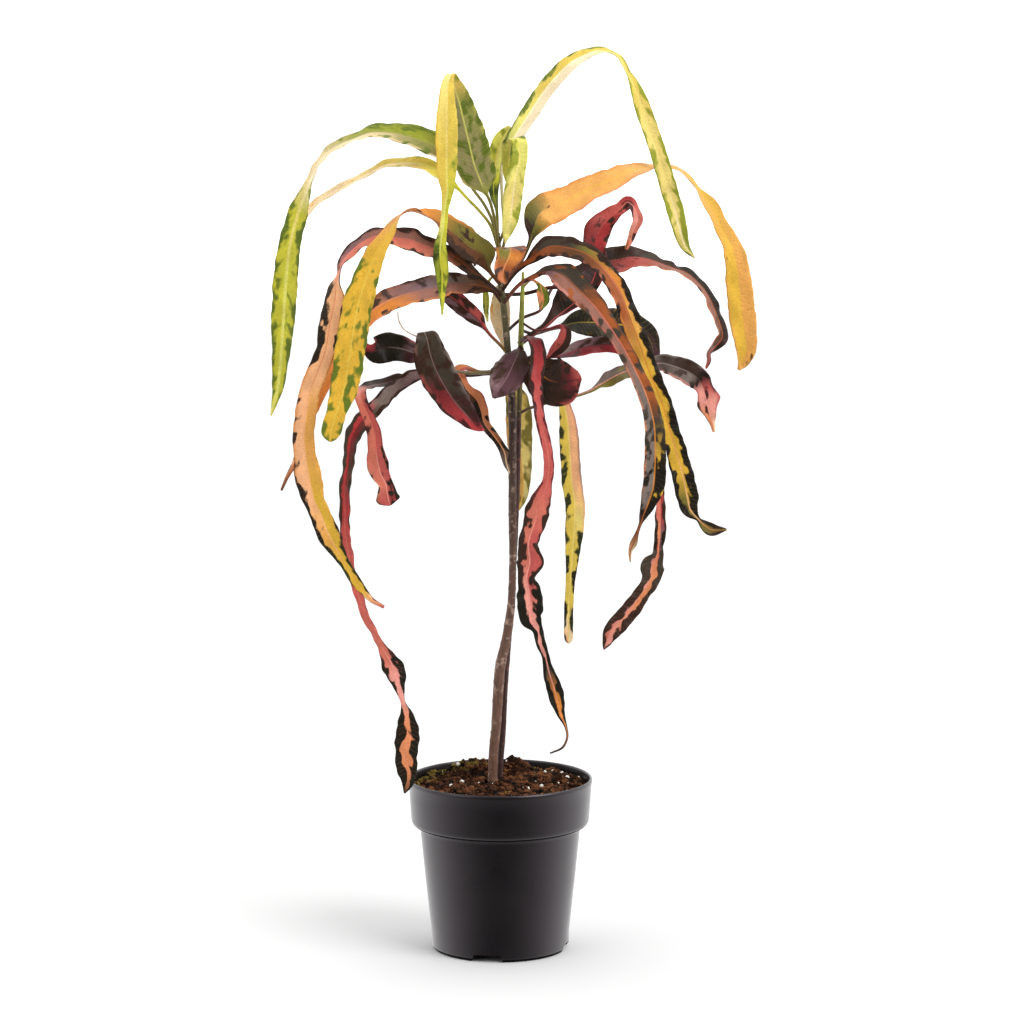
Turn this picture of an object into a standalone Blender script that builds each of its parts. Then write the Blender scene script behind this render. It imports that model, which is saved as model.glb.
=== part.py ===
"""Potted croton: a long-leaved houseplant on two slim stems, in a plain 12 cm nursery pot.

Frame: metres, +Z up.  The origin is the centre of the pot's flat base, the pot stands on z = 0,
and the front of the plant faces -Y.  The pot, the soil, each stem and each leaf (petiole and blade
grown as one piece) are separate closed solids.
"""

import math

import bmesh
import bpy
from mathutils import Vector

MM = 0.001

# ---------------------------------------------------------------- driving dimensions (millimetres)
POT_HEIGHT = 112.5
POT_RIM_RADIUS = 60.0          # outside of the collar at its top: the pot's nominal 12 cm
POT_COLLAR_RADIUS = 57.8       # outside of the collar at its lower edge
POT_COLLAR_HEIGHT = 28.5
POT_NECK_RADIUS = 52.0         # wall just under the collar
POT_FOOT_RADIUS = 45.2         # wall just above the foot chamfer
POT_WALL = 1.3
POT_SEGMENTS = 40
BASE_PAD_RADIUS = 22.0         # flat disc in the middle of the base
BASE_RAISED = 5.0              # height of the drained channel's underside
DRAIN_HOLES = 8
DRAIN_HOLE_RADIUS = 4.0
DRAIN_CIRCLE_RADIUS = 31.0
NOTCHES = 4                    # gaps in the foot ring that let the water out
NOTCH_WIDTH = 21.0
NOTCH_HEIGHT = 4.6
NOTCH_ANGLE = -101.0           # degrees round from +X: just left of the front

SOIL_LEVEL = 103.5             # height of the soil at the wall
SOIL_RISE = 5.0                # how much higher it lies round the stems
SOIL_SEGMENTS = 32
SOIL_RINGS = (0.0, 9.0, 18.0, 27.0, 36.0, 45.0, 52.0)
MOUNDS = (                     # loose heaps of peat: x, y, radius, height
    (-17.0, 27.0, 15.0, 11.0),
    (7.0, 33.0, 13.0, 10.0),
    (34.0, 14.0, 16.0, 3.0),
    (-34.0, -8.0, 15.0, 2.0),
    (12.0, -30.0, 18.0, 1.5),
)

GAP = 0.3                      # clearance kept between pieces that touch
STEM_SIDES = 8
STEM_BURIED = 62.0             # height at which the buried ends stop
MIDRIB_HALF_THICKNESS = 0.7
PETIOLE_WIDTH = 4.0            # narrower than this, a leaf's section is a round stalk
BLADE_FOLD = 0.14              # how far the edges stand above the midrib, per half width

# Stems: points along the middle, each with the stem's width.
STEMS = {
    "stem_main": [
        (-5.0, 0, STEM_BURIED, 5.6), (-4.8, 0, 112, 6.0), (-4.1, 0, 132, 6.1), (-2.7, 0, 146, 6.3),
        (-1.1, 0, 172, 6.8), (0.4, 0, 187, 6.7), (3.8, 0, 203, 6.2), (5.6, 0, 214, 5.8),
        (7.3, 0, 227, 5.0), (8.2, 0, 254, 4.6), (8.1, 0, 276, 5.1), (8.0, 0, 307, 5.1),
        (7.7, 0, 359, 4.8), (5.1, 0, 391, 4.2), (2.6, 0, 417, 4.1), (0.6, 0, 433, 4.2),
        (-0.6, 0, 455, 3.5), (-1.4, 0, 466, 2.4),
    ],
    "stem_second": [
        (-1.6, 7.5, STEM_BURIED, 4.0), (-0.4, 7.5, 112, 4.2), (1.8, 7, 145, 4.1), (3.2, 7, 171, 3.7),
        (4.9, 8, 192, 3.4), (6.6, 8, 217, 3.3), (8.6, 8, 247, 3.3), (10.4, 7.5, 280, 3.2),
        (11.4, 7, 312, 3.2), (12.1, 6, 349, 3.3), (12.9, 5, 378, 3.6), (13.5, 4, 400, 3.5),
        (14.1, 4, 421, 3.1), (14.6, 4, 434, 2.4), (14.8, 4, 441, 1.6),
    ],
}

# Leaves.  "route" runs from the stem's axis along the petiole and the midrib to the tip, each point
# with the leaf's width there.  "faces" says, at some of those points, which way the upper face
# looks: a bearing (0 = front, 90 = right, 180 = back) and a tilt above the level.
LEAVES = {
    "leaf_crown_front": {
        "stem": "stem_main",
        "route": [
            (-1, 0, 456, 2), (-3, -6, 473, 2), (-6, -12, 486, 2), (-9, -17, 493, 4), (-12, -20, 500, 21),
            (-16, -27, 511, 24), (-19, -35, 524, 24), (-22, -44, 537, 20.5), (-25, -53, 550, 16),
            (-28, -62, 560, 11), (-30, -71, 565, 8), (-32, -80, 560, 8), (-32, -87, 548, 11),
            (-32, -91, 536, 13.5), (-32, -94, 521, 13.5), (-32, -96, 506, 11.5), (-31.5, -97, 497, 8),
            (-33, -98, 486, 4.5), (-34, -98, 475, 4.5), (-36, -97, 463, 7.5), (-36, -97, 455, 9),
            (-35, -96, 446, 8.5), (-35, -96, 437, 5), (-35, -95, 421, 1),
        ],
        "faces": {0: (180, 10), 4: (180, 35), 9: (180, 45), 10: (0, 88), 11: (0, 20), 13: (-5, 5), 23: (-5, 0)},
    },
    "leaf_lime_arch_left": {
        "stem": "stem_main",
        "route": [
            (-1, 0, 459, 2), (-5, 6, 474, 2), (-10, 10, 484, 2), (-16, 14, 492, 2), (-25, 19, 504, 2),
            (-32, 22, 511, 3), (-37, 24, 517, 10), (-43, 26, 522, 18), (-53, 29, 526, 17.5),
            (-65, 33, 529, 17), (-75, 36, 530, 16), (-85, 39, 529.5, 15), (-94, 42, 526, 13),
            (-104, 45, 522, 11), (-112, 48, 517, 9), (-118, 50, 510, 8), (-123, 52, 501, 8),
            (-127, 53, 490, 10.5), (-132, 54, 477, 14), (-137, 55, 459, 15), (-140, 56, 439, 17),
            (-142, 56, 413, 17), (-144, 55, 386, 12.5), (-146, 54, 365, 8.5), (-148, 53, 355, 5),
            (-151, 52, 344, 1),
        ],
        "faces": {0: (0, 30), 6: (0, 15), 8: (0, 38), 10: (0, 54), 12: (0, 68), 14: (-40, 70), 16: (-78, 26),
                  18: (-18, 0), 25: (-10, 0)},
    },
    "leaf_peach_arch_left": {
        "stem": "stem_main",
        "route": [
            (-1, 0, 456, 2), (-6, 2, 471, 2), (-13, 6, 480, 2), (-21, 12, 488, 2), (-28, 18, 495, 3),
            (-39, 24, 504, 10), (-49, 30, 509, 10.5), (-62, 38, 510, 11), (-75, 46, 508, 11),
            (-89, 54, 501, 10.5), (-102, 62, 494, 10), (-112, 67, 489, 10), (-123, 72, 481, 9),
            (-131, 76, 471, 8), (-134, 78, 458, 6), (-136, 79, 443, 1),
        ],
        "faces": {0: (0, 40), 5: (0, 32), 7: (0, 52), 9: (0, 58), 12: (-25, 50), 15: (-60, 10)},
    },
    "leaf_crown_arch_right": {
        "stem": "stem_main",
        "route": [
            (-0.5, 0, 451, 2), (3, 3, 462, 2), (1.5, 4.5, 487, 2), (1, 8, 506, 2), (3, 10, 514, 3),
            (6, 13, 521, 9), (12, 18, 531, 10.5), (21, 26, 545, 11.5), (30, 34, 558, 11.5),
            (39, 40, 568, 11.5), (47, 45, 575, 11.5), (55, 50, 579, 11), (63, 55, 582, 10),
            (72, 58, 581, 8.5), (78, 60, 577, 8), (83, 61, 568, 8), (87, 62, 560, 9), (92, 63, 548, 10.5),
            (97, 63, 534, 11), (104, 63, 514, 11), (109, 64, 497, 11.5), (114, 65, 481, 11.5),
            (118, 66, 466, 10), (122, 66, 454, 6), (128, 66, 447, 1),
        ],
        "faces": {0: (0, 0), 2: (0, 10), 8: (0, 20), 10: (0, 40), 12: (0, 66), 13: (20, 70), 15: (65, 20),
                  17: (15, 0), 24: (10, 0)},
    },
    "leaf_crown_inner": {
        "stem": "stem_main",
        "route": [
            (-0.8, 0, 459, 2), (4.5, -3, 474, 2), (7, -3, 490, 2.5), (6, -2, 505, 8), (6, -3, 517, 10),
            (8, -8, 526, 11), (12, -14, 525, 10), (12.5, -18, 515, 10), (10, -20, 502, 11.5),
            (8, -21, 488, 12), (7, -22, 478, 11), (5, -22, 469, 7), (3, -22, 461, 1),
        ],
        "faces": {0: (180, 0), 3: (180, 20), 5: (0, 85), 7: (0, 15), 12: (0, 0)},
    },
    "leaf_crown_young": {
        "stem": "stem_main",
        "route": [
            (-1.5, 0, 462, 2), (-2, 8, 480, 2), (-4, 15, 491, 6), (-4, 19, 501, 8.5), (-3, 21, 510, 9.5),
            (-1, 22, 519, 11.5), (3, 24, 528, 9.5), (6, 24, 534, 2),
        ],
        "faces": {0: (0, 0), 7: (0, 15)},
    },
    "leaf_orange_right": {
        "stem": "stem_main",
        "route": [
            (0.3, 0, 437, 2.5), (8, -5, 441, 2.5), (13, -9, 448, 2.5), (17, -12, 456, 2.5),
            (20, -13, 464, 4), (22, -12, 471, 14), (26, -8, 479, 21.5), (34, 0, 483, 21),
            (46, 12, 488, 19), (58, 26, 494, 17.5), (72, 40, 499, 17), (84, 54, 504, 15.5),
            (93, 64, 506, 13), (102, 72, 507, 10.5), (111, 79, 506, 9.5), (119, 84, 504, 9.5),
            (127, 88, 496, 10), (134, 90, 487, 11.5), (141, 92, 478, 13.5), (147, 93, 466, 14),
            (153, 94, 455, 16), (157, 94, 442, 18.5), (159, 94, 426, 19.5), (161, 93, 409, 19),
            (163, 92, 394, 17.5), (164, 91, 384, 14), (162, 90, 376, 8), (159, 89, 371, 1.5),
        ],
        "faces": {0: (0, 0), 6: (0, 5), 9: (0, 22), 11: (0, 46), 13: (0, 78), 15: (60, 60), 16: (80, 20),
                  18: (52, 0), 20: (42, 0), 22: (20, 0), 27: (10, 0)},
    },
    "leaf_gold_left_front": {
        "stem": "stem_main",
        "route": [
            (0.6, 0, 433, 2.5), (-4, -6, 439, 2.5), (-8, -9, 445, 5), (-11, -13, 453, 18.5),
            (-19, -20, 459, 19.5), (-28, -28, 467, 19), (-38, -38, 475, 16.5), (-45, -46, 479, 14),
            (-51, -53, 482, 11), (-56, -59, 483, 10), (-61, -63, 481, 10), (-66, -67, 474, 11),
            (-71, -70, 466, 12.5), (-76, -73, 458, 13.5), (-80, -75, 448, 15.5), (-84, -77, 437, 17.5),
            (-88, -79, 422, 19), (-91, -81, 404, 19), (-94, -82, 385, 18.5), (-97, -82, 371, 16.5),
            (-101, -82, 359, 12.5), (-103, -81, 350, 12.5), (-105, -80, 341, 4.5),
        ],
        "faces": {0: (0, 40), 4: (0, 20), 6: (0, 32), 8: (0, 72), 10: (-78, 30), 12: (-36, 5), 15: (-12, 0),
                  22: (0, 0)},
    },
    "leaf_salmon_left_long": {
        "stem": "stem_main",
        "route": [
            (1.4, 0, 426, 2.5), (-3, -5, 431, 2.5), (-11, -10, 438, 3), (-19, -15, 444, 8.5),
            (-28, -22, 452, 11.5), (-37, -29, 456, 12.5), (-47, -37, 460, 14.5), (-56, -44, 464, 15.5),
            (-67, -51, 466, 14), (-77, -57, 467, 12), (-86, -61, 463, 10.5), (-92, -64, 458, 10),
            (-97, -66, 452, 9.5), (-99, -67, 446, 8.5), (-101, -68, 438, 10), (-102, -69, 428, 13.5),
            (-105, -70, 414, 13.5), (-108, -71, 397, 12.5), (-114, -71, 381, 13), (-118, -71, 371, 13),
            (-120, -71, 359, 13.5), (-122, -71, 343, 13.5), (-121, -70, 331, 14.5), (-119, -69, 317, 17),
            (-116, -68, 303, 14), (-112, -67, 294, 13), (-107, -66, 281, 14.5), (-102, -64, 271, 10),
            (-97, -63, 262, 6.5), (-91, -62, 252, 7), (-86, -61, 245, 5), (-81, -60, 239, 3.5),
            (-73, -59, 234, 2),
        ],
        "faces": {0: (0, 40), 4: (0, 32), 7: (0, 23), 9: (0, 45), 11: (0, 60), 13: (-78, 25), 15: (-15, 5),
                  20: (-8, 0), 32: (0, 0)},
    },
    "leaf_dark_orange_left": {
        "stem": "stem_main",
        "route": [
            (1.9, 0, 421, 2.5), (-4, -2, 429, 2.5), (-12, -3, 433, 11.5), (-22, -6, 434, 14),
            (-32, -11, 435, 14.5), (-40, -17, 433, 16.5), (-51, -24, 431, 16), (-60, -31, 429, 15),
            (-69, -37, 426, 15), (-78, -43, 421, 15), (-88, -49, 413, 14.5), (-97, -54, 402, 13),
            (-104, -57, 388, 12), (-111, -59, 373, 10.5), (-118, -60, 357, 9), (-123, -60, 339, 7),
            (-128, -60, 326, 4), (-133, -59, 317, 2.5), (-137, -58, 308, 1.5),
        ],
        "faces": {0: (0, 40), 2: (0, 30), 5: (0, 20), 8: (0, 22), 11: (-30, 10), 18: (-20, 0)},
    },
    "leaf_purple_left_short": {
        "stem": "stem_main",
        "route": [
            (5.2, 0, 389, 2), (-1, -1, 396, 2), (-6, -1, 401, 2), (-10, 0, 406, 3), (-14, 1, 411, 9),
            (-21, 2, 417, 11.5), (-28, 3, 423, 12), (-34, 4, 427, 10.5), (-40, 5, 430, 6), (-44, 5, 432, 1.5),
        ],
        "faces": {0: (0, 30), 4: (0, 0), 9: (0, 10)},
    },
    "leaf_curled_dark_left": {
        "stem": "stem_main",
        "route": [
            (5.3, 0, 388, 2), (-3, 2.5, 378, 2), (-12, 3, 376.5, 2), (-32, 2, 379, 2), (-45, 0, 386, 4),
            (-55, -3, 390, 14), (-64, -6, 393, 16.5), (-73, -10, 394, 19), (-79, -13, 392, 16.5),
            (-84, -15, 394, 8.5), (-86, -15, 397, 2),
        ],
        "faces": {0: (0, 60), 4: (0, 20), 7: (0, 0), 10: (-40, 0)},
    },
    "leaf_broad_purple_left": {
        "stem": "stem_main",
        "route": [
            (6.0, 0, 381, 2), (-3, -7, 378.5, 2), (-22, -13, 378, 2), (-36, -17, 383, 2), (-45, -19, 393, 2.5),
            (-49, -22, 402, 5), (-48, -27, 405, 8.5), (-46, -31, 401, 15), (-44, -33, 392, 21),
            (-40, -34, 381, 23), (-34, -35, 370, 22), (-28, -35, 361, 19), (-21, -34, 353, 14),
            (-15, -33, 346, 7.5), (-10, -32, 343, 1),
        ],
        "faces": {0: (0, 60), 4: (0, 30), 6: (0, 80), 7: (0, 25), 10: (-15, 10), 14: (-10, 0)},
    },
    "leaf_red_strap_left": {
        "stem": "stem_main",
        "route": [
            (6.6, 0, 372, 2), (-3, -1.5, 376, 2), (-13, -1, 377, 2), (-32, -5, 376, 2), (-45, -10, 378, 4),
            (-53, -14, 377, 8.5), (-61, -18, 373, 9), (-69, -22, 367, 9.5), (-76, -26, 360, 10),
            (-82, -29, 354, 11), (-88, -32, 348, 11.5), (-93, -35, 339, 10), (-95, -37, 329, 8.5),
            (-96, -39, 319, 7), (-98, -40, 307, 7.5), (-98, -41, 292, 7), (-98, -41, 280, 6.5),
            (-96, -41, 267, 6), (-94, -41, 254, 5.5), (-90, -41, 240, 5.5), (-86, -41, 227, 5.5),
            (-80, -41, 215, 4.5), (-76, -41, 207, 5), (-70, -42, 197, 11.5), (-66, -42, 188, 13.5),
            (-64, -42, 180, 7.5), (-62, -43, 171, 3), (-60, -43, 164, 7), (-59, -43, 156, 13.5),
            (-59, -43, 145, 16), (-60, -43, 135, 13.5), (-59, -43, 126, 13), (-59, -43, 118, 8.5),
            (-61, -43, 111, 1),
        ],
        "faces": {0: (0, 60), 5: (0, 20), 10: (-20, 0), 21: (-10, 0), 33: (0, 0)},
    },
    "leaf_red_folded_left": {
        "stem": "stem_main",
        "route": [
            (7.1, 0, 366, 2), (-3, 6, 375, 2), (-19, 7, 374.5, 2), (-45, 0, 375, 2), (-57, -6, 375, 2.5),
            (-64, -10, 374, 7), (-73, -14, 371.5, 9), (-83, -26, 370.5, 9), (-88, -37, 368, 8),
            (-86, -43, 361, 8), (-82, -45, 352, 8), (-79, -46, 343, 9.5), (-78, -47, 333, 10.5),
            (-77, -47, 325, 13.5), (-75, -47, 317, 12.5), (-72, -47, 311, 9.5), (-71, -47, 305, 12.5),
            (-70, -47, 300, 15.5), (-69, -47, 297, 7.5),
        ],
        "faces": {0: (0, 60), 5: (0, 40), 7: (-20, 40), 9: (-15, 0), 18: (0, 0)},
    },
    "leaf_salmon_twist_left": {
        "stem": "stem_main",
        "route": [
            (5.7, 0, 385, 2), (-3, -4, 379, 2), (-13, -5, 378, 2), (-23, -8, 381, 4.5), (-27, -9, 379, 6.5),
            (-24, -11, 373, 6), (-21, -12, 367, 7), (-15, -13, 361, 10.5), (-12, -13, 354, 8.5),
            (-10, -13, 346, 7), (-5, -12, 339, 6), (0, -10, 332, 5), (3, -8, 326, 6), (4, -7.5, 320, 5),
            (6, -7, 313, 1),
        ],
        "faces": {0: (0, 60), 4: (0, 40), 6: (10, 0), 14: (0, 0)},
    },
    "leaf_purple_front_left": {
        "stem": "stem_second",
        "route": [
            (13.2, 4.3, 393, 2.5), (12, -8, 391, 9), (9, -17, 385, 20), (5, -25, 377, 22.5),
            (0, -31, 370, 16), (-4, -34, 364, 2),
        ],
        "faces": {0: (0, 80), 1: (0, 60), 3: (-10, 15), 5: (-10, 0)},
    },
    "leaf_purple_front_right": {
        "stem": "stem_second",
        "route": [
            (13.1, 4.6, 388, 2.5), (17, -7, 386, 9), (23, -13, 380, 22), (31, -18, 374, 30),
            (38, -22, 373, 32), (45, -25, 374, 24), (50, -26, 375, 11), (52, -26, 375, 2.5),
        ],
        "faces": {0: (0, 70), 2: (0, 15), 5: (0, 0), 7: (30, 0)},
    },
    "leaf_red_centre_long": {
        "stem": "stem_second",
        "route": [
            (13.4, 4.1, 397, 2.5), (17, -6, 400, 4), (20, -14, 400, 7), (24, -22, 395, 9.5),
            (24, -28, 386, 10), (23, -33, 374, 9), (24, -37, 362, 7), (26, -40, 349, 6.5),
            (29, -42, 337, 6.5), (31, -44, 324, 6.5), (30, -45, 312, 6.5), (27, -46, 303, 11.5),
            (24, -46, 295, 16), (22, -46, 286, 14), (19, -46, 277, 12.5), (18, -46, 271, 13.5),
            (19, -46, 261, 16.5), (17, -46, 251, 11), (18.5, -46, 242, 15.5), (19, -46, 233, 16.5),
            (20, -46, 225, 14), (24, -46, 217, 7), (26, -46, 209, 6.5), (29, -46, 200, 5),
            (31, -45, 191, 7), (34, -44, 181, 10), (37, -43, 170, 9), (39, -42, 162, 5),
            (42, -41, 154, 2), (43, -40, 147, 1.5), (40, -39, 140, 1.5), (32, -38, 136, 1),
        ],
        "faces": {0: (0, 70), 2: (0, 70), 4: (0, 10), 31: (0, 0)},
    },
    "leaf_yellow_right_back": {
        "stem": "stem_second",
        "route": [
            (13.0, 4.9, 381, 2), (19, 16, 380, 2), (30, 22, 375, 2), (37, 27, 367, 3.5), (41, 30, 356, 7),
            (44, 33, 342, 11), (45, 35, 329, 13), (46, 36, 314, 13), (47, 36, 301, 13), (49, 36, 288, 13),
            (49, 36, 277, 12.5), (48, 36, 262, 11), (47, 35, 248, 8), (46, 35, 235, 6), (45, 34, 219, 6),
            (45, 34, 208, 6), (45, 34, 199, 6), (45, 34, 195, 3.5),
        ],
        "faces": {0: (0, 70), 3: (20, 10), 6: (5, 0), 17: (0, 0)},
    },
    "leaf_olive_behind_stem": {
        "stem": "stem_main",
        "route": [
            (7.2, 0, 365, 2), (7, 10, 369, 3), (10, 17, 361, 13), (12, 20, 349, 16.5), (12.5, 22, 337, 17),
            (13, 23, 324, 15.5), (14, 24, 312, 13), (15, 24, 301, 9), (14, 24, 292, 6), (12, 24, 285, 1.5),
        ],
        "faces": {0: (180, 70), 2: (180, 5), 9: (180, 0)},
    },
    "leaf_big_strap_right": {
        "stem": "stem_main",
        "route": [
            (1.0, 0, 429, 2.5), (10, -10, 442, 3), (19, -15, 450, 6.5), (26, -18, 456, 12.5),
            (33, -21, 459, 14.5), (44, -26, 458, 14), (54, -31, 455, 14), (63, -36, 448, 12.5),
            (70, -40, 440, 12), (76, -43, 430, 12), (81, -46, 417, 12.5), (88, -49, 398, 12.5),
            (94, -51, 381, 12.5), (101, -52, 364, 12.5), (106, -53, 348, 12.5), (111, -53, 331, 13),
            (115, -53, 317, 14), (118, -53, 303, 14), (120, -52, 295, 10.5), (125, -52, 289, 3),
            (129, -51, 285, 6.5), (134, -50, 282, 8), (143, -49, 282, 1.5),
        ],
        "faces": {0: (0, 50), 4: (0, 25), 7: (15, 20), 10: (12, 5), 22: (0, 0)},
    },
    "leaf_pink_strap_right": {
        "stem": "stem_main",
        "route": [
            (2.0, 0, 421, 2.5), (12, -13, 434, 2.5), (22, -20, 440, 4), (31, -26, 444, 7.5),
            (39, -32, 442, 17.5), (49, -39, 433, 17.5), (60, -45, 422, 14), (69, -51, 410, 10.5),
            (77, -56, 398, 10), (85, -60, 383, 10), (92, -63, 367, 10.5), (96, -65, 352, 12),
            (97, -66, 340, 13), (97, -66, 326, 14), (96, -66, 311, 14), (93, -65, 301, 10),
            (90, -64, 293, 5.5), (88, -63, 287, 2), (86, -62, 281, 2.5), (84, -62, 275, 4.5),
            (82, -61, 270, 2.5), (82, -60, 263, 1),
        ],
        "faces": {0: (0, 50), 4: (10, 20), 7: (10, 5), 21: (0, 0)},
    },
    "leaf_crimson_upright": {
        "stem": "stem_second",
        "route": [
            (13.2, 4.4, 394, 2.5), (20, 8, 399, 2.5), (29, 12, 405, 2.5), (37, 16, 412, 5), (45, 20, 418, 11.5),
            (54, 25, 425, 14.5), (60, 30, 434, 14.5), (63, 34, 445, 13), (62, 37, 456, 14.5),
            (65, 39, 466, 17), (72, 41, 475, 13.5), (79, 43, 481, 9), (83, 44, 484, 7), (87, 44, 481, 6),
            (89, 44, 474, 6), (87, 43, 467, 6), (85, 42, 461, 5), (82, 41, 454, 2),
        ],
        "faces": {0: (0, 30), 4: (0, 30), 8: (0, 0), 11: (0, 30), 13: (30, 10), 17: (20, 0)},
    },
    "leaf_maroon_arch_right": {
        "stem": "stem_main",
        "route": [
            (4.0, 0, 403, 2), (14, 10, 411, 2), (26, 16, 416, 2), (30, 21, 423, 2), (34, 26, 430, 2),
            (42, 33, 437, 3.5), (55, 44, 441, 9), (65, 50, 444, 15.5), (75, 53, 446, 19), (87, 55, 448, 15),
            (99, 57, 446, 12), (107, 59, 443, 10.5), (115, 61, 440, 10), (123, 64, 437, 9.5),
            (130, 66, 431, 9.5), (136, 68, 424, 9.5), (141, 69, 414, 9.5), (145, 70, 404, 8.5),
            (147, 70, 395, 8.5), (143, 69, 389, 6), (138, 68, 384, 3), (138, 67, 379, 3), (136, 66, 374, 1.5),
        ],
        "faces": {0: (0, 30), 7: (0, 20), 9: (0, 25), 11: (0, 60), 14: (35, 40), 17: (40, 15), 22: (0, 0)},
    },
    "leaf_pale_right": {
        "stem": "stem_second",
        "route": [
            (12.2, 6, 350, 2), (19, 10, 353, 2), (34, 15, 357, 2), (49, 20, 360, 2), (59, 25, 363, 2.5),
            (64, 28, 366, 4.5), (71, 31, 370, 10.5), (80, 35, 374, 10), (88, 39, 376, 10), (97, 43, 378, 10.5),
            (106, 47, 379, 12), (116, 51, 376, 14.5), (125, 54, 372, 16), (131, 56, 367, 14),
            (134, 57, 360, 13), (136, 58, 353, 12.5), (138, 58, 346, 8), (140, 57, 338, 3.5),
            (141, 56, 333, 2),
        ],
        "faces": {0: (0, 50), 6: (0, 20), 8: (0, 35), 11: (0, 20), 14: (20, 0), 18: (0, 0)},
    },
    "leaf_dark_veined_right": {
        "stem": "stem_second",
        "route": [
            (13.6, 4, 404, 2), (22, 13, 401, 2), (31, 18, 403, 2), (40, 24, 405, 4), (49, 28, 407, 14.5),
            (59, 32, 407, 19.5), (68, 36, 406, 20.5), (78, 40, 405, 19.5), (88, 44, 402, 18.5),
            (95, 47, 398, 16.5), (99, 49, 392, 12.5), (101, 50, 384, 8), (103, 50, 378, 2),
        ],
        "faces": {0: (0, 50), 4: (0, 10), 9: (20, 10), 12: (20, 0)},
    },
    "leaf_grey_crimson_right": {
        "stem": "stem_second",
        "route": [
            (13.1, 4.7, 386, 2), (23, 12, 385, 2), (33, 16, 386, 2.5), (42, 19, 388, 6.5), (52, 22, 391, 10.5),
            (62, 24, 393, 10.5), (72, 26, 393, 10.5), (81, 28, 390, 10), (88, 30, 385, 8), (92, 31, 379, 2),
        ],
        "faces": {0: (0, 50), 3: (0, 10), 9: (0, 0)},
    },
    "leaf_small_folded_right": {
        "stem": "stem_second",
        "route": [
            (13.8, 4, 409, 1.5), (23, 1, 404, 1.5), (31, -1, 405, 2), (39, -4, 407, 3.5), (42, -8, 404, 7.5),
            (40, -10, 397, 9), (35, -11, 392, 7.5), (30, -11, 387, 1.5),
        ],
        "faces": {0: (0, 50), 3: (0, 60), 5: (-10, 0), 7: (0, 0)},
    },
    "leaf_low_right": {
        "stem": "stem_main",
        "route": [
            (1.2, 0, 427, 2.5), (16, 12, 427, 2.5), (35, 12, 431, 2.5), (52, 13, 427, 5), (65, 16, 414, 6),
            (76, 19, 397, 6.5), (86, 22, 377, 6.5), (96, 26, 356, 6.5), (101, 30, 336, 6.5),
            (104, 33, 316, 6.5), (104, 35, 299, 6.5), (105, 36, 289, 6.5), (105, 37, 279, 7),
            (105, 37, 268, 8), (104, 36, 259, 6.5), (103, 35, 253, 8.5), (100, 34, 247, 16),
            (99, 33, 238, 12.5), (94, 32, 230, 10.5), (89, 31, 223, 12), (83, 30, 215, 12.5),
            (74, 29, 205, 12), (70, 28, 197, 6.5), (68, 28, 192, 1),
        ],
        "faces": {0: (0, 50), 4: (20, 10), 23: (0, 0)},
    },
    "leaf_brown_crown_front": {
        "stem": "stem_main",
        "route": [
            (-0.1, 0, 446, 2.5), (3, -9, 453, 9), (5, -17, 458, 18), (7, -27, 457, 20), (6, -35, 453, 16.5),
            (3, -41, 447, 13), (2, -44, 442, 9.5), (4, -45, 437, 2),
        ],
        "faces": {0: (0, 60), 2: (0, 75), 3: (0, 70), 4: (0, 30), 7: (0, 5)},
    },
    "leaf_peach_behind_stem": {
        "stem": "stem_main",
        "route": [
            (0.8, 0, 431, 2), (-1, 10, 431, 4), (0, 16, 422, 11.5), (0, 19, 414, 13), (1, 21, 405, 11),
            (3, 22, 396, 6.5), (3, 22, 388, 1.5),
        ],
        "faces": {0: (180, 60), 2: (180, 10), 6: (180, 0)},
    },
    "leaf_small_green_left": {
        "stem": "stem_main",
        "route": [
            (0.2, 0, 440, 1.5), (-5, 7, 438, 1.5), (-9, 11, 431, 3), (-9, 12, 422, 4.5), (-9, 12, 416, 3.5),
            (-8, 11, 409, 1),
        ],
        "faces": {0: (-90, 60), 2: (-10, 10), 5: (0, 0)},
    },
    "leaf_small_peach_right": {
        "stem": "stem_second",
        "route": [
            (14.5, 4, 431, 1.5), (20, 7, 436, 1.5), (25, 8, 433, 3), (27, 8, 428, 8), (28, 8, 423, 8),
            (26, 7, 417, 2),
        ],
        "faces": {0: (0, 60), 2: (0, 70), 3: (10, 10), 5: (0, 0)},
    },
}

# Colour of each material: red, green, blue, roughness.
COLOURS = {
    "pot": (0.030, 0.028, 0.032, 0.55),
    "soil": (0.100, 0.045, 0.022, 0.95),
    "stem": (0.120, 0.085, 0.065, 0.75),
    "lime": (0.520, 0.560, 0.080, 0.45),
    "gold": (0.760, 0.430, 0.060, 0.45),
    "salmon": (0.740, 0.250, 0.120, 0.45),
    "crimson": (0.420, 0.040, 0.055, 0.45),
    "maroon": (0.075, 0.028, 0.032, 0.40),
}
LEAF_COLOURS = {
    "leaf_crown_front": "lime", "leaf_lime_arch_left": "lime", "leaf_peach_arch_left": "gold",
    "leaf_crown_arch_right": "lime", "leaf_crown_inner": "lime", "leaf_crown_young": "lime",
    "leaf_orange_right": "gold", "leaf_gold_left_front": "gold", "leaf_salmon_left_long": "salmon",
    "leaf_dark_orange_left": "salmon", "leaf_big_strap_right": "gold", "leaf_pink_strap_right": "salmon",
    "leaf_red_strap_left": "crimson", "leaf_red_folded_left": "crimson", "leaf_red_centre_long": "crimson",
    "leaf_crimson_upright": "crimson", "leaf_low_right": "crimson", "leaf_yellow_right_back": "gold",
    "leaf_salmon_twist_left": "salmon", "leaf_brown_crown_front": "gold", "leaf_pale_right": "salmon",
    "leaf_peach_behind_stem": "gold", "leaf_small_green_left": "lime", "leaf_small_peach_right": "gold",
    "leaf_olive_behind_stem": "lime",
}


def clear_scene():
    """Start from an empty file, without closing it."""
    for thing in list(bpy.data.objects):
        bpy.data.objects.remove(thing, do_unlink=True)


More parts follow.
